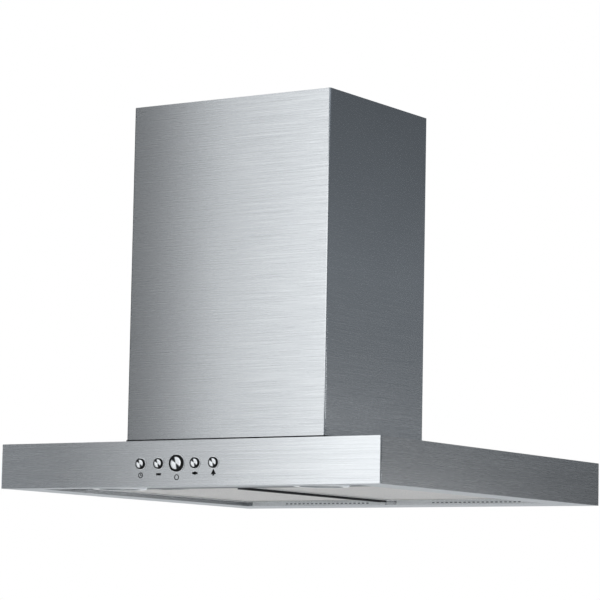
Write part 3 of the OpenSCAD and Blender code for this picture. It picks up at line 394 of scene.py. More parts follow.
@dataclass(frozen=True)
class TurnedPlate(Recipe):
    """Nickel plating over a turned cap, whose rings are too fine to see: the fan of bright and dark wedges
    from the middle is a painted highlight and painted shade.
    """

    name: str
    centre: Triple
    light: str = "#ffffff"
    dark: str = "#2a2c2e"
    groove: str = "#dcdfe1"
    roughness: float = 0.48
    metal: float = 0.9
    # Direction in degrees that the bright part of the painted fan points to, and where it begins and ends
    painted_fan_angle: float = 35.0
    painted_fan: Pair = (-0.95, -0.4)
    # A real tool mark is about 0.05 mm, and is drawn coarser here so that it shows
    ring: float = 0.5

    def build(self) -> Material:
        """Makes the material.

        Returns:
            The finished material.
        """
        plate = Coat(self.name, {"Metallic": self.metal, "Roughness": self.roughness})
        centred = plate.add("ShaderNodeMapping", {
            "Vector": plate.place, "Location": [-place for place in self.centre]})
        flat = plate.add("ShaderNodeVectorMath", {0: centred, 1: (1, 0, 1)}, operation="MULTIPLY")
        radius = plate.add("ShaderNodeVectorMath", {0: flat}, operation="LENGTH").outputs["Value"]
        turns = plate.add("ShaderNodeMath", {
            0: radius, 1: 2 * math.pi / (self.ring * MM)}, operation="MULTIPLY")
        wave = plate.add("ShaderNodeMath", {0: turns}, operation="SINE")
        grooves = plate.add("ShaderNodeMapRange", {"Value": wave, "From Min": -1.0, "From Max": 1.0})
        # The fan is painted into the colour by the angle round the middle: painted highlight and painted
        # shade
        place = plate.add("ShaderNodeSeparateXYZ", {0: centred}).outputs
        angle = plate.add("ShaderNodeMath", {0: place["Z"], 1: place["X"]}, operation="ARCTAN2")
        doubled = plate.add("ShaderNodeMath", {
            0: angle, 1: 2.0, 2: -2 * math.radians(self.painted_fan_angle)}, operation="MULTIPLY_ADD")
        painted_fan = plate.add("ShaderNodeMath", {0: doubled}, operation="COSINE")
        lit = plate.add("ShaderNodeMapRange", {
            "Value": painted_fan, "From Min": self.painted_fan[0], "From Max": self.painted_fan[1]}, interpolation_type="SMOOTHSTEP")
        painted_sheen = plate.add("ShaderNodeMix", {
            0: lit, 6: linear(self.dark), 7: linear(self.light)}, data_type="RGBA")
        turned = plate.add("ShaderNodeMix", {
            0: grooves, 6: painted_sheen.outputs[2], 7: linear(self.groove)}, data_type="RGBA", blend_type="MULTIPLY")
        return plate.done({"Base Color": turned.outputs[2]})


@dataclass(frozen=True)
class Moulded(Recipe):
    """Moulded plastic or stoved paint: even colour with the fine texture of its mould or spray."""

    name: str
    light: str
    dark: str
    roughness: float
    swing: float = 0.06
    # Size and depth of the texture in millimetres, and size of the slow changes in tone
    grit: float = 0.5
    depth: float = 0.1
    flow: float = 18.0
    bump: float = 0.12
    gloss: float = 0.5

    def build(self) -> Material:
        """Makes the material.

        Returns:
            The finished material.
        """
        moulding = Coat(self.name, {"Specular IOR Level": self.gloss})
        grit = moulding.add("ShaderNodeTexNoise", {
            "Vector": moulding.place, "Scale": 1 / (self.grit * MM), "Detail": 3.0})
        flow = moulding.add("ShaderNodeTexNoise", {"Vector": moulding.place, "Scale": 1 / (self.flow * MM)})
        colours = moulding.add("ShaderNodeMix", {
            0: flow, 6: linear(self.dark), 7: linear(self.light)}, data_type="RGBA")
        gloss = moulding.add("ShaderNodeMapRange", {
            "Value": flow, "To Min": self.roughness - self.swing, "To Max": self.roughness + self.swing})
        relief = moulding.add("ShaderNodeBump", {
            "Height": grit, "Strength": self.bump, "Distance": self.depth * MM})
        return moulding.done({"Base Color": colours.outputs[2], "Roughness": gloss, "Normal": relief})


@dataclass(frozen=True)
class FrostedGlass(Recipe):
    """Acid-etched lamp glass: milky, with a soft sparkle from its pitted face."""

    name: str = "etched_glass"
    body: str = "#f4f6f7"
    clearness: float = 0.7
    refraction: float = 1.5
    gloss: Pair = (0.3, 0.55)
    # Size and depth of the pits in millimetres
    pit: float = 0.8
    depth: float = 0.1
    bump: float = 0.15

    def build(self) -> Material:
        """Makes the material.

        Returns:
            The finished material.
        """
        glass = Coat(self.name, {"Transmission Weight": self.clearness, "IOR": self.refraction,
                                 "Base Color": linear(self.body)})
        pits = glass.add("ShaderNodeTexNoise", {"Vector": glass.place, "Scale": 1 / (self.pit * MM)})
        gloss = glass.add("ShaderNodeMapRange", {
            "Value": pits, "To Min": self.gloss[0], "To Max": self.gloss[1]})
        relief = glass.add("ShaderNodeBump", {
            "Height": pits, "Strength": self.bump, "Distance": self.depth * MM})
        return glass.done({"Roughness": gloss, "Normal": relief})


@dataclass(frozen=True)
class BoardLacquer(Recipe):
    """Circuit board under green lacquer: copper tracks show through it as paler lines."""

    name: str = "board_lacquer"
    lacquer: str = "#0f4a2a"
    track: str = "#2a7a46"
    pitch: float = 2.5
    track_width: float = 0.06
    roughness: float = 0.25
    coat: float = 0.5

    def build(self) -> Material:
        """Makes the material.

        Returns:
            The finished material.
        """
        board = Coat(self.name, {"Roughness": self.roughness, "Coat Weight": self.coat})
        upright = board.add("ShaderNodeMapping", {"Vector": board.place, "Rotation": LYING})
        tracks = board.add("ShaderNodeTexBrick", {
            "Vector": upright, "Scale": 1 / (self.pitch * 2 * MM), "Mortar Size": self.track_width,
            "Color1": linear(self.lacquer), "Color2": linear(self.lacquer), "Mortar": linear(self.track)})
        return board.done({"Base Color": tracks})


def toward(*ways: Vector) -> FaceTest:
    """Returns a test for faces that look one of the given ways."""
    return lambda face: any(face.normal.dot(way) > SQUARE_ON for way in ways)


class Piece:
    """A mesh in the making. Each step leaves it in object mode, active and selected alone."""

    def __init__(self, name: str, thing: bpy.types.Object) -> None:
        """Names a Blender object and its mesh.

        Args:
            name: The piece's name.
            thing: The object.
        """
        self.thing = thing
        thing.name = name
        thing.data.name = name

    @classmethod
    def start(cls, name: str, add: Callable[..., object], **settings: object) -> "Piece":
        """Adds a primitive and fixes it in its place.

        Args:
            name: The piece's name.
            add: The primitive's operator.
            settings: The operator's own settings.

        Returns:
            The piece.
        """
        add(**settings)
        piece = cls(name, bpy.context.object)
        piece.fix()
        return piece

    @classmethod
    def block(cls, name: str, middle: Vector | Triple, size: Triple, turn: float = 0.0) -> "Piece":
        """Adds a rectangular blank.

        Args:
            name: The piece's name.
            middle: Its middle.
            size: Its three sides in metres.
            turn: Its turn about z in radians.

        Returns:
            The blank.
        """
        blank = cls.start(name, bpy.ops.mesh.primitive_cube_add, size=1.0)
        blank.thing.scale = size
        blank.move(middle, (0.0, 0.0, turn))
        return blank

    @classmethod
    def from_mesh(cls, name: str, mesh: bpy.types.Mesh) -> "Piece":
        """Starts a piece from a copy of a mesh.

        Args:
            name: The piece's name.
            mesh: The mesh.

        Returns:
            The piece.
        """
        thing = bpy.data.objects.new(name, mesh.copy())
        bpy.context.scene.collection.objects.link(thing)
        return cls(name, thing)

    @classmethod
    def join(cls, name: str, pieces: list["Piece"]) -> "Piece":
        """Joins pieces into one.

        Args:
            name: Name of the joined piece.
            pieces: The pieces.

        Returns:
            The joined piece.
        """
        bpy.ops.object.select_all(action="DESELECT")
        for piece in pieces:
            piece.thing.select_set(True)
        bpy.context.view_layer.objects.active = pieces[0].thing
        bpy.ops.object.join()
        return cls(name, pieces[0].thing)

    def take(self) -> None:
        """Makes the piece the active and only selected one."""
        bpy.ops.object.select_all(action="DESELECT")
        self.thing.select_set(True)
        bpy.context.view_layer.objects.active = self.thing

    def fix(self) -> None:
        """Writes the piece's place, turn and scale into its mesh."""
        self.take()
        bpy.ops.object.transform_apply(location=True, rotation=True, scale=True)

    def move(self, middle: Vector | Triple, turn: Triple = (0.0, 0.0, 0.0)) -> None:
        """Turns the piece about the origin, carries it to its place and fixes it there.

        Args:
            middle: Where the origin of the piece goes.
            turn: Its turn about x, y and z in radians.
        """
        self.thing.rotation_euler = turn
        self.thing.location = middle
        self.fix()

    @contextmanager
    def faces(self, wanted: FaceTest | None = None) -> Iterator[None]:
        """Opens edit mode on some faces, and closes it again.

        Args:
            wanted: Test of the faces to select, or None for the whole mesh with its loose points.
        """
        self.take()
        bpy.ops.object.mode_set(mode="EDIT")
        bpy.ops.mesh.select_mode(type="FACE")
        bpy.ops.mesh.select_all(action="DESELECT" if wanted else "SELECT")
        if wanted:
            bpy.ops.object.mode_set(mode="OBJECT")
            for face in self.thing.data.polygons:
                face.select = wanted(face)
            bpy.ops.object.mode_set(mode="EDIT")
        yield
        bpy.ops.object.mode_set(mode="OBJECT")

    def modify(self, kind: str, **settings: object) -> None:
        """Adds a modifier and applies it.

        Args:
            kind: Blender's name of the modifier's type.
            settings: Attributes of the modifier and their values.
        """
        self.take()
        modifier = self.thing.modifiers.new(kind.lower(), kind)
        for name, value in settings.items():
            setattr(modifier, name, value)
        bpy.ops.object.modifier_apply(modifier=modifier.name)

    def ease(self, width: float, segments: int = 2, **settings: object) -> None:
        """Bevels the piece's edges by a width in millimetres."""
        self.modify("BEVEL", width=width * MM, segments=segments, limit_method="ANGLE", **settings)

    def repeat(self, count: int, step: Triple) -> None:
        """Sets a row of copies, a step in metres apart."""
        self.modify("ARRAY", count=count, use_relative_offset=False, use_constant_offset=True,
                    constant_offset_displace=step)

    def cut(self, cutter: "Piece") -> None:
        """Takes another piece's shape out of this one, and removes that piece."""
        self.modify("BOOLEAN", object=cutter.thing, operation="DIFFERENCE", solver="EXACT")
        cutter.remove()

    def hollow(self, wall: float, *ends: Vector) -> None:
        """Opens the piece from end to end and leaves a wall.

        Args:
            wall: Thickness of the wall in millimetres.
            ends: Ways that the ends look.
        """
        with self.faces(toward(*ends)):
            bpy.ops.mesh.inset(thickness=wall * MM)
            bpy.ops.mesh.bridge_edge_loops()

    def outward(self) -> None:
        """Merges doubles and turns every face outwards."""
        with self.faces():
            bpy.ops.mesh.remove_doubles(threshold=WELD)
            bpy.ops.mesh.normals_make_consistent(inside=False)

    def remove(self) -> None:
        """Takes the piece out of the scene."""
        bpy.data.objects.remove(self.thing)

    def finish(self, finish: Recipe, body: str, slot: str, replaced: str | None = None,
               smooth: float | None = 40.0) -> None:
        """Gives the piece its finish and fixes it to its body.

        Args:
            finish: Its finish.
            body: The body it rides on.
            slot: The record's material slot it belongs to; not used.
            replaced: The node that it stands for, if any.
            smooth: Largest angle in degrees that is shaded smooth, or None for flat faces.
        """
        self.thing.data.materials.clear()
        self.thing.data.materials.append(finish.material)
        if smooth is not None:
            self.take()
            bpy.ops.object.shade_smooth_by_angle(angle=math.radians(smooth))
        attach(self.thing, body)
        if replaced:
            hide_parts(replaced)
        LOG.info("piece %s: %d faces", self.thing.name, len(self.thing.data.polygons))


def dress(finish: Recipe, *nodes: str) -> None:
    """Gives construction nodes their finish.

    Args:
        finish: The finish.
        nodes: Names of the nodes.
    """
    for node in nodes:
        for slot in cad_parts[node].material_slots:
            slot.material = finish.material
        LOG.info("node %s: %s", node, finish.name)


class Finish:
    """Every finish on the hood."""

    # The steels' tones along the front, at the left end, up the right-hand side and on the undersides are
    # painted light and painted shade
    CANOPY_STEEL = BrushedSteel(
        "brushed_canopy_steel", side_painted_light=(0.61, 0.67, 0.8), side_heights=(RIM, FOOT), under_painted_shade=0.8,
        under_roughness=0.36, scratch_width=1.0)
    FASCIA_STEEL = BrushedSteel(
        "brushed_fascia_steel", front_painted_light=(0.81, 1.0), painted_fade=(20.0, 290.0), end_painted_light=1.3,
        side_painted_light=(0.15, 0.15, 0.15), under_painted_shade=0.3, under_roughness=0.6, scratch_length=160.0,
        scratch_width=1.1)
    PANEL_STEEL = BrushedSteel("brushed_panel_steel", under_painted_shade=0.3, under_roughness=0.5)
    CHIMNEY_STEEL = BrushedSteel(
        "brushed_chimney_steel", front_painted_light=(0.57, 0.96), painted_fade=(-165.0, 5.0),
        side_painted_light=(1.12, 1.57, 1.15), side_heights=(FOOT, CEILING))
    ROD_STEEL = BrushedSteel("drawn_rod_steel", grain=Grain.ALONG_X, scratch_width=0.4)
    SHAFT_STEEL = BrushedSteel("ground_shaft_steel", grain=Grain.ALONG_Y, scratch_width=0.4)
    BAR_STEEL = ZincSheet("galvanised_bar", crystal=6.0)
    ZINC_SHEET = ZincSheet("galvanised_sheet")
    ZINC_PLATE = SpottedMetal("zinc_plate", "#c4c6c8", "#a9acaf", 0.32, grit=0.8)
    MILL_ALUMINIUM = BrushedSteel(
        "mill_aluminium", light="#dcdddc", dark="#c4c6c6", roughness=0.3, grain=Grain.ALONG_X,
        scratch_width=0.8, scratch_length=40.0)
    STRAND_ALUMINIUM = SpottedMetal("expanded_aluminium", "#f8f4f0", "#dad7d4", 0.42, grit=1.5, metal=0.35)
    DRIP_ALUMINIUM = SpottedMetal("satin_drip_aluminium", "#f2f3f3", "#dddfe0", 0.5, grit=0.8, metal=0.2)
    WOOL_ALUMINIUM = SpottedMetal(
        "aluminium_wool", "#d8d6d3", "#a09f9b", 0.5, grit=0.9, bump=0.6, metal=0.4)
    CAST_ALUMINIUM = SpottedMetal("cast_aluminium", "#8f9294", "#767a7c", 0.55, grit=0.6, bump=0.3)
    BRIGHT_CHROME = SpottedMetal("bright_chrome", "#e6e8ea", "#d8dbdd", 0.1, swing=0.02, grit=6.0)
    BLACK_PLASTIC = Moulded("black_moulding", "#16181a", "#0e0f10", 0.4)
    GREY_PLASTIC = Moulded("grey_moulding", "#7d8184", "#6b6f72", 0.5)
    WHITE_PLASTIC = Moulded("white_moulding", "#dddcd6", "#cfcec8", 0.4)
    MOTOR_PAINT = Moulded("stoved_black_paint", "#27292c", "#1c1e20", 0.38, grit=1.4, bump=0.2)
    INK = Moulded("printed_ink", "#0c0d0e", "#060707", 0.6, grit=0.3, bump=0.05, gloss=0.1)
    RUBBER = Moulded("shade_strip_rubber", "#1a1c1e", "#121314", 0.7, grit=0.8, bump=0.2, gloss=0.2)
    BEZEL_PLASTIC = Moulded("bezel_moulding", "#0d0e0f", "#070808", 0.45, grit=0.4, gloss=0.15)
    # A near-white ring that draws a bright line round each bezel: a painted highlight
    HOLE_HIGHLIGHT = SpottedMetal("painted_hole_highlight", "#ffffff", "#eef1f4", 0.5, grit=0.5, metal=0.25)
    ETCHED_GLASS = FrostedGlass()
    BOARD = BoardLacquer()


@dataclass
class Shell:
    """The canopy and both chimneys: folded and brushed stainless sheet."""

    # The dark rubber strip round the chimney's foot stands in for the shadow there: painted shade. Its height
    # and thickness
    shade_strip_height: float = 9.2
    shade_strip_thickness: float = 0.4
    # Rounding that a press brake leaves, and the smallest fold in degrees that gets it
    edge_radius: float = 0.9
    edge_angle: float = 60.0
    # Points of a sheet closer than this are one, and faces within this angle in degrees are one
    weld: float = 0.01
    flatness: float = 1.0

    def build(self) -> None:
        """Dresses the sheet-metal outside, eases its edges and lays the dark strip of painted shade at the
        chimney's foot.
        """
        dress(Finish.PANEL_STEEL, "lamp_panel")
        # The centre rail is painted black for the shadow line between the filters: painted shade
        dress(Finish.MOTOR_PAINT, "filter_centre_rail")
        dress(Finish.ZINC_PLATE, "filter_hinge_brackets")
        dress(Finish.CHIMNEY_STEEL, "chimney_rear_panel", "upper_chimney")
        self.ease_edges("front_fascia", "fascia_sheet", Finish.FASCIA_STEEL, "brushed_canopy")
        self.ease_edges("lower_chimney", "chimney_sheet", Finish.CHIMNEY_STEEL, "brushed_chimney")
        self.ease_edges("canopy_shell", "canopy_sheet", Finish.CANOPY_STEEL, "brushed_canopy")
        self.shade_strip()

    def ease_edges(self, node: str, name: str, finish: Recipe, slot: str) -> None:
        """Stands a copy with eased edges in a folded sheet's place.

        Args:
            node: The sheet's node.
            name: Name of the copy.
            finish: Its finish.
            slot: The record's material slot.
        """
        sheet = Piece.from_mesh(name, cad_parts[node].data)
        with sheet.faces():
            bpy.ops.mesh.remove_doubles(threshold=self.weld * MM)
            bpy.ops.mesh.dissolve_limited(angle_limit=math.radians(self.flatness))
        sheet.ease(self.edge_radius, angle_limit=math.radians(self.edge_angle))
        sheet.finish(finish, "hood", slot, node, smooth=None)

    def shade_strip(self) -> None:
        """Lays a dark rubber strip round the foot of the chimney, rear panel and all: painted shade for the
        shadow there.
        """
        low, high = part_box("lower_chimney")
        high.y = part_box("chimney_rear_panel")[1].y
        grow = 2 * self.shade_strip_thickness * MM
        middle = Vector(((low.x + high.x) / 2, (low.y + high.y) / 2, low.z + self.shade_strip_height / 2 * MM))
        shade_strip = Piece.block("chimney_shade_strip", middle, (
            high.x - low.x + grow, high.y - low.y + grow, self.shade_strip_height * MM))
        shade_strip.hollow(self.shade_strip_thickness, UP, DOWN)
        shade_strip.outward()
        shade_strip.finish(Finish.RUBBER, "hood", "black_plastic")


@dataclass(frozen=True)
class Bar:
    """A flat bar of a symbol: its size, and its middle to the right of and above the symbol's own."""

    width: float
    height: float
    x: float = 0.0
    z: float = 0.0


@dataclass(frozen=True)
class Button:
    """A push button's node, and the generic symbol that is printed under it."""

    symbol: str
    node: str
    # How far the symbol's middle lies below the button's
    drop: float
    bars: tuple[Bar, ...] = ()
    # Width of the symbol's ring, or zero where it has none
    stroke: float = 0.0
    # Whether the symbol has a lampshade
    shade: bool = False
    # How far the plated disc stays inside the cap, and how thick the bezel's wall is
    collar: float = 0.6
    wall: float = 1.3

    @property
    def middle(self) -> Vector:
        """The middle of the button."""
        low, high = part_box(self.node)
        return (low + high) / 2

    @property
    def radius(self) -> float:
        """The button's radius in millimetres."""
        low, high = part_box(self.node)
        return (high.x - low.x) / 2 / MM


BUTTONS = (
    Button("clock", "button_timer", 15.1, (Bar(1.0, 2.8, z=1.1), Bar(2.4, 1.0, x=0.9)), stroke=1.1),
    Button("less", "button_minus", 14.0, (Bar(7.6, 3.0),)),
    Button("ring", "button_power", 18.3, stroke=1.2, collar=1.2, wall=1.9),
    Button("more", "button_plus", 13.4, (Bar(8.6, 2.9), Bar(2.2, 4.4))),
    Button("lamp", "button_light", 12.5, (Bar(3.0, 1.5, z=-3.6), Bar(1.2, 1.8, z=3.2)), shade=True))


@dataclass
class Controls:
    """The row of push buttons, their bezels, the symbols under them and the board behind."""

    print_thickness: float = 0.08
    print_rounding: float = 0.25
    symbol_radius: float = 3.2
    # Radius of the lampshade's foot and top, and its height
    shade: Triple = (5.6, 1.6, 5.4)
    # Width of the near-white ring round each bezel, a painted highlight
    highlight_width: float = 1.0
    # The plated disc in a cap: how proud it is, how deep it sits, and how far it is dished in three steps
    disc_proud: float = 0.35
    disc_seat: float = 0.5
    dish: float = 0.25
    dish_steps: Triple = (0.3, 0.3, 0.2)
    # Width of an eased front edge and the steps it is made in
    collar_edge: tuple[float, int] = (0.3, 3)
    disc_edge: tuple[float, int] = (0.15, 2)
    # Straight sides that stand for a circle, in a cap and in a printed ring
    cap_sides: int = 64
    ring_sides: int = 48

    def build(self) -> None:
        """Dresses the nodes and adds the caps, the printed symbols and the near-white rings of painted
        highlight round the holes.
        """
        dress(Finish.BLACK_PLASTIC, "control_housing", "push_switches")
        dress(Finish.BEZEL_PLASTIC, "button_bezels")
        dress(Finish.BOARD, "control_board")
        for button in BUTTONS:
            self.cap(button)
            self.print_symbol(button)
            self.paint_edge_highlight(button)

    def cap(self, button: Button) -> None:
        """Models a button's cap: a black collar with a turned and plated disc in its front.

        Args:
            button: The button.
        """
        low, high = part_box(button.node)
        proud, seat = self.disc_proud * MM, self.disc_seat * MM
        collar = self.turn(f"cap_collar_{button.symbol}", button.middle, button.radius,
                           (low.y + proud, high.y), self.collar_edge)
        collar.finish(Finish.BEZEL_PLASTIC, button.node, "black_plastic", button.node)
        inner = button.radius - button.collar
        disc = self.turn(f"cap_disc_{button.symbol}", button.middle, inner, (low.y, low.y + proud + seat),
                         self.disc_edge)
        with disc.faces(toward(FRONT)):
            for share in self.dish_steps:
                bpy.ops.mesh.inset(thickness=inner * share * MM)
                bpy.ops.transform.translate(value=(0, self.dish * share * MM, 0))
        plate = TurnedPlate(f"turned_plate_{button.symbol}", tuple(button.middle))
        disc.finish(plate, button.node, "button_chrome", smooth=50.0)

    def turn(self, name: str, middle: Vector, radius: float, reach: Pair,
             edge: tuple[float, int]) -> Piece:
        """Turns a round blank that lies along y.

        Args:
            name: The piece's name.
            middle: The middle of its button.
            radius: Its radius in millimetres.
            reach: Places of its front and back in metres.
            edge: Width of its eased front edge in millimetres, and the steps it is made in.

        Returns:
            The blank.
        """
        front, back = reach
        blank = Piece.start(name, bpy.ops.mesh.primitive_cylinder_add, vertices=self.cap_sides,
                            radius=radius * MM, depth=back - front, rotation=LYING,
                            location=(middle.x, (front + back) / 2, middle.z))
        with blank.faces(toward(FRONT)):
            bpy.ops.mesh.bevel(offset=edge[0] * MM, segments=edge[1], affect="EDGES")
        return blank

    def print_symbol(self, button: Button) -> None:
        """Prints a button's symbol on the fascia.

        Args:
            button: The button.
        """
        parts = [self.ring("ring", self.symbol_radius, button.stroke)] if button.stroke else []
        parts += [self.lampshade()] if button.shade else []
        parts += [self.bar(bar) for bar in button.bars]
        mark = Piece.join(f"symbol_{button.symbol}", parts)
        mark.move(self.on_fascia(button, button.drop))
        mark.finish(Finish.INK, "hood", "black_plastic", smooth=None)

    def on_fascia(self, button: Button, drop: float = 0.0) -> Vector:
        """Returns the middle of a print that lies on the fascia, by its drop below a button's middle."""
        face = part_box("front_fascia")[0].y
        return Vector((button.middle.x, face - self.print_thickness * MM / 2, button.middle.z - drop * MM))

    def bar(self, bar: Bar) -> Piece:
        """Prints a flat bar with eased ends.

        Args:
            bar: Its size and place.

        Returns:
            The bar.
        """
        piece = Piece.block("bar", (0, 0, 0), (bar.width * MM, self.print_thickness * MM, bar.height * MM))
        piece.ease(self.print_rounding, affect="VERTICES")
        piece.move((bar.x * MM, 0, bar.z * MM))
        return piece

    def ring(self, name: str, radius: float, stroke: float) -> Piece:
        """Prints a flat ring.

        Args:
            name: Its name.
            radius: Radius of the middle of its stroke in millimetres.
            stroke: Width of its stroke in millimetres.

        Returns:
            The ring.
        """
        piece = Piece.start(name, bpy.ops.mesh.primitive_cylinder_add, vertices=self.ring_sides,
                            rotation=LYING, radius=(radius + stroke / 2) * MM,
                            depth=self.print_thickness * MM)
        piece.hollow(stroke, FRONT, BACK)
        return piece

    def lampshade(self) -> Piece:
        """Prints a lampshade.

        Returns:
            The lampshade.
        """
        foot, top, height = self.shade
        piece = Piece.start("lampshade", bpy.ops.mesh.primitive_cone_add, vertices=4, radius1=foot * MM,
                            radius2=top * MM, depth=height * MM, rotation=(0, 0, math.pi / 4))
        piece.thing.scale = (1, self.print_thickness * MM / piece.thing.dimensions.y, 1)
        piece.fix()
        return piece

    def paint_edge_highlight(self, button: Button) -> None:
        """Adds a near-white ring at the edge of a button's hole: a painted highlight, seen as a bright line
        round the bezel.

        Args:
            button: The button.
        """
        radius = button.radius + button.wall + self.highlight_width / 2
        edge = self.ring(f"hole_edge_{button.symbol}", radius, self.highlight_width)
        edge.move(self.on_fascia(button))
        edge.finish(Finish.HOLE_HIGHLIGHT, "hood", "trim_chrome")


@dataclass
class Lamps:
    """Two recessed lamps: chromed rim, etched glass and finned body."""

    def build(self) -> None:
        """Dresses both lamps."""
        for side in ("left", "right"):
            dress(Finish.BRIGHT_CHROME, f"lamp_trim_{side}")
            dress(Finish.ETCHED_GLASS, f"lamp_lens_{side}")
            dress(Finish.CAST_ALUMINIUM, f"lamp_body_{side}")


@dataclass
class Filter:
    """An aluminium grease filter, left or right, with its expanded-metal face, rod, lugs and latch."""

    side: str
    # The face: the diamonds' pitch along x and y, the strands between them, the sheet's thickness, and
    # the free space round the latch
    diamond: Pair = (9.0, 5.0)
    strand: float = 1.2
    sheet: float = 0.7
    latch_gap: float = 0.6
    # The dark rubber strip along the meeting edge, painted shade for the shadow between the filters: its
    # width and height, its distance from the filter's ends, its hollowed face, and the rounding of its edges
    shade_strip: Pair = (5.0, 2.2)
    shade_strip_inset: float = 8.0
    shade_strip_lip: float = 0.8
    shade_strip_hollow: float = 0.3
    shade_strip_rounding: float = 0.3
    # The drip strip: its size, its gap to the hinge rods, to the rim's underside and to the frame's ends
    drip_thickness: float = 0.6
    drip_height: float = 5.3
    drip_gap: float = 5.4
    drip_rise: float = 0.3
    drip_inset: float = 8.0
    # Its slots: their number, width and height, pitch, and how far the row lies off the middle
    drip_slots: int = 20
    drip_slot: Pair = (4.2, 1.7)
    drip_pitch: float = 7.4
    drip_shift: float = 16.0
    # The grey strip behind the slots stands in for the shade there: painted shade. Its thickness and
    # rounding, how much lower it is than the drip strip, and how far it lies behind that strip's middle, as a
    # share of its thickness
    backing: float = 0.2
    backing_rounding: float = 0.05
    backing_margin: float = 0.6
    backing_shift: float = 0.7

    def build(self) -> None:
        """Dresses the filter, weaves its face and adds its dark strip of painted shade and its drip strip."""
        dress(Finish.MILL_ALUMINIUM, f"filter_frame_{self.side}", f"latch_housing_{self.side}")
        dress(Finish.WOOL_ALUMINIUM, f"filter_core_{self.side}")
        dress(Finish.ROD_STEEL, f"filter_hinge_rod_{self.side}")
        dress(Finish.GREY_PLASTIC, f"latch_slider_{self.side}")
        self.face()
        self.meeting_shade_strip()
        self.drip_strip()

    def meeting_shade_strip(self) -> None:
        """Lays a dark rubber strip along the edge where one filter meets the other: painted shade for the
        shadow between them.
        """
        low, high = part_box(f"filter_frame_{self.side}")
        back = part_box(f"filter_mesh_{self.side}")[1].y
        width, height = self.shade_strip
        x = high.x - width / 2 * MM if self.side == "left" else low.x + width / 2 * MM
        shade_strip = Piece.block(f"filter_shade_strip_{self.side}", (x, (back + low.y) / 2, low.z - height / 2 * MM),
                           (width * MM, back - low.y - 2 * self.shade_strip_inset * MM, height * MM))
        with shade_strip.faces(toward(DOWN)):
            bpy.ops.mesh.inset(thickness=self.shade_strip_lip * MM)
            bpy.ops.transform.translate(value=(0, 0, self.shade_strip_hollow * MM))
        shade_strip.ease(self.shade_strip_rounding)
        shade_strip.finish(Finish.RUBBER, f"filter_{self.side}", "black_plastic")

    def drip_strip(self) -> None:
        """Sets the slotted drip strip in front of the opening's rear lip."""
        low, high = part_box(f"filter_frame_{self.side}")
        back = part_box("filter_hinge_rod_left")[1].y + self.drip_gap * MM
        length = high.x - low.x - 2 * self.drip_inset * MM
        middle = Vector(((low.x + high.x) / 2, back, RIM + (self.drip_rise + self.drip_height / 2) * MM))
        strip = Piece.block(f"drip_strip_{self.side}", middle, (
            length, self.drip_thickness * MM, self.drip_height * MM))
        row = self.drip_pitch * (self.drip_slots - 1) / 2 * MM
        width, height = (side * MM for side in self.drip_slot)
        slots = Piece.block("slots", middle + Vector((self.drip_shift * MM - row, 0, 0)),
                            (width, 4 * self.drip_thickness * MM, height))
        slots.repeat(self.drip_slots, (self.drip_pitch * MM, 0, 0))
        strip.cut(slots)
        strip.finish(Finish.DRIP_ALUMINIUM, "hood", "filter_aluminium", smooth=None)
        # The grey strip behind the slots is painted shade
        behind = middle + Vector((0, self.drip_thickness * self.backing_shift * MM, 0))
        backing = Piece.block(f"drip_backing_{self.side}", behind, (
            length, self.backing * MM, (self.drip_height - self.backing_margin) * MM))
        backing.ease(self.backing_rounding, segments=1)
        backing.finish(Finish.GREY_PLASTIC, "hood", "black_plastic", smooth=None)

    def face(self) -> None:
        """Makes the expanded-metal face in the place of the coarse one."""
        node = f"filter_mesh_{self.side}"
        low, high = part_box(node)
        wide, deep = (pitch * MM for pitch in self.diamond)
        columns = math.ceil((high.x - low.x) / wide) + 2
        rows = math.ceil((high.y - low.y) / deep) + 2
        cells = []
        # Two lattices of diamonds, half a pitch apart, fill the sheet
        for half_step in (-0.5, 0.0):
            cell = Piece.start("cell", bpy.ops.mesh.primitive_circle_add, vertices=4, radius=0.5,
                               fill_type="NGON")
            cell.thing.scale = (wide, deep, 1)
            cell.move((low.x + half_step * wide, low.y + half_step * deep, 0))
            with cell.faces():
                bpy.ops.mesh.inset(thickness=self.strand / 2 * MM)
                bpy.ops.mesh.delete(type="FACE")
            cell.repeat(columns, (wide, 0, 0))
            cell.repeat(rows, (0, deep, 0))
            cells.append(cell)
        sheet = Piece.join(f"expanded_face_{self.side}", cells)
        for point, normal in ((low, (-1, 0, 0)), (low, (0, -1, 0)), (high, (1, 0, 0)), (high, (0, 1, 0))):
            with sheet.faces():
                bpy.ops.mesh.bisect(plane_co=(point.x, point.y, 0), plane_no=normal, clear_outer=True)
        self.open_for_latch(sheet)
        sheet.move((0, 0, low.z + self.sheet * MM / 2))
        sheet.outward()
        sheet.modify("SOLIDIFY", thickness=self.sheet * MM, offset=0.0)
        sheet.finish(Finish.STRAND_ALUMINIUM, f"filter_{self.side}", "filter_aluminium", node, smooth=30.0)

    def open_for_latch(self, sheet: Piece) -> None:
        """Takes a sheet's strands out where the latch housing sits.

        Args:
            sheet: The sheet.
        """
        low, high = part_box(f"latch_housing_{self.side}")
        gap = self.latch_gap * MM

        def under_housing(face: bpy.types.MeshPolygon) -> bool:
            """Says whether a face lies within the housing's outline."""
            x, y = face.center.x, face.center.y
            return low.x - gap < x < high.x + gap and low.y - gap < y < high.y + gap
        with sheet.faces(under_housing):
            bpy.ops.mesh.delete(type="FACE")


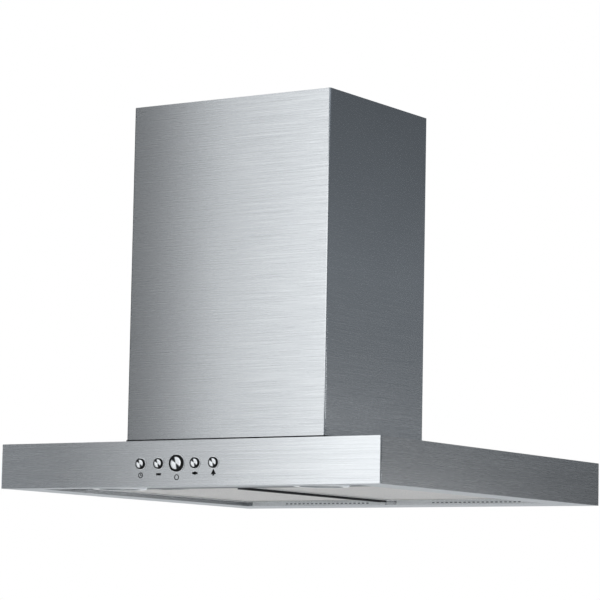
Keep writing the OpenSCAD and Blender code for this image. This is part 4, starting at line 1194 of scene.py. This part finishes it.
@dataclass
class Blower:
    """Galvanised box and scroll, aluminium wheel, painted motor and its outlet."""

    def build(self) -> None:
        """Dresses the blower, the outlet and the electronics."""
        dress(Finish.ZINC_SHEET, "motor_box", "scroll_wrap", "scroll_side_front", "scroll_side_rear",
              "inlet_ring_front", "inlet_ring_rear", "outlet_collar", "electronics_box", "electronics_lid")
        dress(Finish.MILL_ALUMINIUM, "fan_wheel")
        dress(Finish.MOTOR_PAINT, "motor")
        dress(Finish.ZINC_PLATE, "motor_spider")
        dress(Finish.SHAFT_STEEL, "motor_shaft", "flap_spindle")
        dress(Finish.GREY_PLASTIC, "flap_left", "flap_right")
        dress(Finish.BLACK_PLASTIC, "cable_gland")
        dress(Finish.WHITE_PLASTIC, "capacitor")


@dataclass
class HangingFrame:
    """Telescopic angle bars and the plate that is bolted to the ceiling."""

    def build(self) -> None:
        """Dresses the frame."""
        dress(Finish.BAR_STEEL, "lower_frame_bars", "upper_frame_bars", "ceiling_plate")


@dataclass
class Screws:
    """Pan-head screws with a cross recess, one model copied to every place of a group."""

    head_radius: float = 3.6
    shank_radius: float = 2.0
    head: float = 1.6
    thin_head: float = 1.0
    # Straight sides that stand for a circle
    sides: int = 24
    # Rounding of the head's edge, and the steps it is made in
    edge: float = 0.45
    edge_steps: int = 3
    recess_width: float = 0.9
    recess_span: float = 4.2
    recess_depth: float = 0.9
    # Lengths of the shanks, by what they go into
    panel_shank: float = 7.5
    sheet_shank: float = 2.0
    bar_shank: float = 3.5
    chimney_rows: int = 4

    def build(self) -> None:
        """Fits every group of screws."""
        low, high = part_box("lamp_panel_screws")
        self.fit("lamp_panel_screws", "hood", self.head, self.panel_shank, [
            (Vector((x, y, low.z + self.head * MM)), (math.pi, 0.0, 0.0))
            for x in self.spread(low.x, high.x, 2) for y in self.spread(low.y, high.y, 2)])
        low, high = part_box("chimney_screws")
        self.fit("chimney_screws", "hood", self.head, self.sheet_shank, [
            (Vector((x, high.y - self.head * MM, z)), (-math.pi / 2, 0.0, 0.0))
            for x in self.spread(low.x, high.x, 2) for z in self.spread(low.z, high.z, self.chimney_rows)])
        for node, body, head, rows in (("frame_screws", "hood", self.head, 2),
                                       ("hanger_screws", "ceiling_frame", self.thin_head, 1)):
            low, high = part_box(node)
            self.fit(node, body, head, self.bar_shank, [
                (Vector((x, y, z)), (0.0, side * math.pi / 2, 0.0))
                for side, x in ((-1, low.x + head * MM), (1, high.x - head * MM))
                for y in self.spread(low.y, high.y, 2) for z in self.spread(low.z, high.z, rows)])

    def spread(self, low: float, high: float, count: int) -> list[float]:
        """Spreads the middles of some screws evenly, so that the outer heads touch both ends.

        Args:
            low: The lower end.
            high: The higher end.
            count: How many screws there are.

        Returns:
            Their places from low to high.
        """
        reach = self.head_radius * MM
        step = (high - low - 2 * reach) / max(count - 1, 1)
        return [low + reach + number * step for number in range(count)]

    def model(self, name: str, head: float, shank: float) -> Piece:
        """Models one screw, head up, with its seat at the origin.

        Args:
            name: The piece's name.
            head: Height of the head in millimetres.
            shank: Length of the shank in millimetres.

        Returns:
            The screw.
        """
        screw = Piece.start(name, bpy.ops.mesh.primitive_cylinder_add, vertices=self.sides,
                            depth=head * MM, radius=self.head_radius * MM, location=(0, 0, head * MM / 2))
        with screw.faces(toward(DOWN)):
            bpy.ops.mesh.inset(thickness=(self.head_radius - self.shank_radius) * MM)
            bpy.ops.mesh.extrude_region_move(TRANSFORM_OT_translate={"value": (0, 0, -shank * MM)})
        with screw.faces(toward(UP)):
            bpy.ops.mesh.bevel(offset=self.edge * MM, segments=self.edge_steps, affect="EDGES")
        for turn in (0.0, math.pi / 2):
            screw.cut(Piece.block("recess", (0, 0, head * MM), (
                self.recess_span * MM, self.recess_width * MM, 2 * self.recess_depth * MM), turn))
        return screw

    def fit(self, node: str, body: str, head: float, shank: float,
            seats: list[tuple[Vector, Triple]]) -> None:
        """Puts a screw on each seat and hides the plain ones.

        Args:
            node: The node with the plain screws.
            body: The body they ride on.
            head: Height of the head in millimetres.
            shank: Length of the shank in millimetres.
            seats: The seat of each head, and the turn that points a screw out of it.
        """
        first = self.model(f"{node}_model", head, shank)
        for number, (seat, turn) in enumerate(seats, 1):
            screw = Piece.from_mesh(f"{node}_{number}", first.thing.data)
            screw.move(seat, turn)
            screw.finish(Finish.ZINC_PLATE, body, "screw_steel", node if number == 1 else None)
        first.remove()


@dataclass(frozen=True)
class Panel:
    """A soft panel of light: its middle, the point it faces and its size in metres, and its radiance."""

    name: str
    place: Triple
    aim: Triple
    size: Pair
    radiance: float

    def hang(self) -> None:
        """Hangs the panel."""
        light = bpy.data.lights.new(self.name, "AREA")
        light.shape = "RECTANGLE"
        light.size, light.size_y = self.size
        light.energy = self.radiance * math.pi * self.size[0] * self.size[1]
        lamp = bpy.data.objects.new(self.name, light)
        bpy.context.scene.collection.objects.link(lamp)
        lamp.location = self.place
        lamp.rotation_euler = (Vector(self.aim) - Vector(self.place)).to_track_quat("-Z", "Y").to_euler()
        lamp.visible_camera = False


@dataclass
class Studio:
    """Pale floor, soft panels of light and the camera at the photograph's angle."""

    panels: tuple[Panel, ...] = (
        Panel("front_panel", (-0.32, -3.2, 0.1), (-0.32, 0.0, 0.1), (3.6, 2.4), 1.75),
        Panel("right_panel", (2.2, 2.1, -0.75), (0.0, 0.0, -0.4), (1.3, 0.6), 2.5),
        Panel("rear_panel", (-1.8, 2.5, -0.25), (0.0, 0.0, -0.25), (2.6, 2.4), 0.6),
        Panel("fill_panel", (2.3, -2.7, -0.1), (0.0, 0.0, -0.25), (1.6, 2.2), 0.7))
    # The camera as seen from the middle of the canopy's bottom front edge
    camera_place: Triple = (2075.3, -2922.5, -176.1)
    yaw: float = 32.99
    pitch: float = 5.975
    roll: float = 1.08
    rise: float = 0.06
    focal_pixels: float = 2759.4
    picture_pixels: float = 600.0
    film: float = 36.0
    sight: float = 50.0
    # The floor lies below the hood and fades out between two distances, all in metres
    floor_drop: float = 1.1
    floor_size: float = 14.0
    floor_fade: Pair = (3.6, 6.9)
    floor_tones: tuple[str, str] = ("#e6e3df", "#ebe8e4")
    floor_spots: float = 1 / 3
    floor_roughness: float = 0.9
    # The camera sees the backdrop, and the steel mirrors a haze that brightens from the horizon upwards
    backdrop: str = "#ffffff"
    haze: str = "#e3edf8"
    haze_rise: Pair = (0.35, 0.85)
    haze_strength: Pair = (0.14, 1.2)

    def build(self) -> None:
        """Sets up the whole studio."""
        self.floor()
        self.world()
        for panel in self.panels:
            panel.hang()
        self.camera()
        bpy.context.scene.view_settings.view_transform = "Standard"

    def floor(self) -> None:
        """Lays the floor, which is clear from below and far away."""
        floor = Piece.start("floor", bpy.ops.mesh.primitive_plane_add, size=self.floor_size,
                            location=(0, 0, CAD_BOX[0][2] - self.floor_drop))
        paint = Coat("pale_floor", {"Roughness": self.floor_roughness})
        spots = paint.add("ShaderNodeTexNoise", {"Vector": paint.place, "Scale": 1 / self.floor_spots})
        near, off = map(linear, self.floor_tones)
        tone = paint.add("ShaderNodeMix", {0: spots, 6: near, 7: off}, data_type="RGBA")
        material = paint.done({"Base Color": tone.outputs[2]})
        flat = paint.add("ShaderNodeVectorMath", {0: paint.place, 1: (1, 1, 0)}, operation="MULTIPLY")
        away = paint.add("ShaderNodeVectorMath", {0: flat}, operation="LENGTH").outputs["Value"]
        far = paint.add("ShaderNodeMapRange", {
            "Value": away, "From Min": self.floor_fade[0], "From Max": self.floor_fade[1]},
            interpolation_type="SMOOTHSTEP")
        below = paint.add("ShaderNodeNewGeometry").outputs["Backfacing"]
        gone = paint.add("ShaderNodeMath", {0: below, 1: far}, operation="MAXIMUM")
        clear = paint.add("ShaderNodeBsdfTransparent")
        shown = paint.add("ShaderNodeMixShader", {0: gone, 1: paint.principled, 2: clear})
        paint.feed(paint.tree.nodes["Material Output"], {"Surface": shown})
        floor.thing.data.materials.append(material)

    def world(self) -> None:
        """Gives the camera a white surround and the steel a hazy one."""
        world = bpy.data.worlds.new("studio")
        world.use_nodes = True
        bpy.context.scene.world = world
        world.node_tree.nodes.clear()
        sky = Shader(world.node_tree)
        seen = sky.add("ShaderNodeBackground", {"Color": linear(self.backdrop), "Strength": 1.0})
        height = sky.add("ShaderNodeSeparateXYZ", {0: sky.coordinates["Generated"]}).outputs["Z"]
        strength = sky.add("ShaderNodeMapRange", {
            "Value": height, "From Min": self.haze_rise[0], "From Max": self.haze_rise[1],
            "To Min": self.haze_strength[0], "To Max": self.haze_strength[1]},
            interpolation_type="SMOOTHSTEP")
        mirrored = sky.add("ShaderNodeBackground", {"Color": linear(self.haze), "Strength": strength})
        ray = sky.add("ShaderNodeLightPath").outputs
        both = sky.add("ShaderNodeMixShader", {0: ray["Is Camera Ray"], 1: mirrored, 2: seen})
        sky.add("ShaderNodeOutputWorld", {"Surface": both})

    def camera(self) -> None:
        """Sets the camera to the photograph's place, angle and framing."""
        low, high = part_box("front_fascia")
        edge = Vector(((low.x + high.x) / 2, low.y, low.z))
        camera = bpy.data.cameras.new("camera")
        camera.sensor_width = self.film
        camera.lens = self.focal_pixels * self.film / self.picture_pixels
        camera.shift_y = self.rise
        camera.clip_end = self.sight
        view = bpy.data.objects.new("camera", camera)
        bpy.context.scene.collection.objects.link(view)
        view.location = edge + Vector(self.camera_place) * MM
        yaw, pitch, roll = (math.radians(angle) for angle in (self.yaw, self.pitch, self.roll))
        ahead = Vector((-math.sin(yaw) * math.cos(pitch), math.cos(yaw) * math.cos(pitch), math.sin(pitch)))
        view.rotation_euler = ahead.to_track_quat("-Z", "Y").to_euler()
        bpy.context.view_layer.update()
        view.rotation_euler.rotate_axis("Z", roll)
        bpy.context.scene.camera = view


def main() -> None:
    """Builds the sub-assemblies in order and the studio round them."""
    logging.basicConfig(level=logging.INFO, format="%(name)s %(message)s")
    for part in (Shell(), Controls(), Lamps(), Filter("left"), Filter("right"), Blower(), HangingFrame(),
                 Screws()):
        LOG.info("building %s", type(part).__name__)
        part.build()
    Studio().build()


if __name__ == "__main__":
    main()
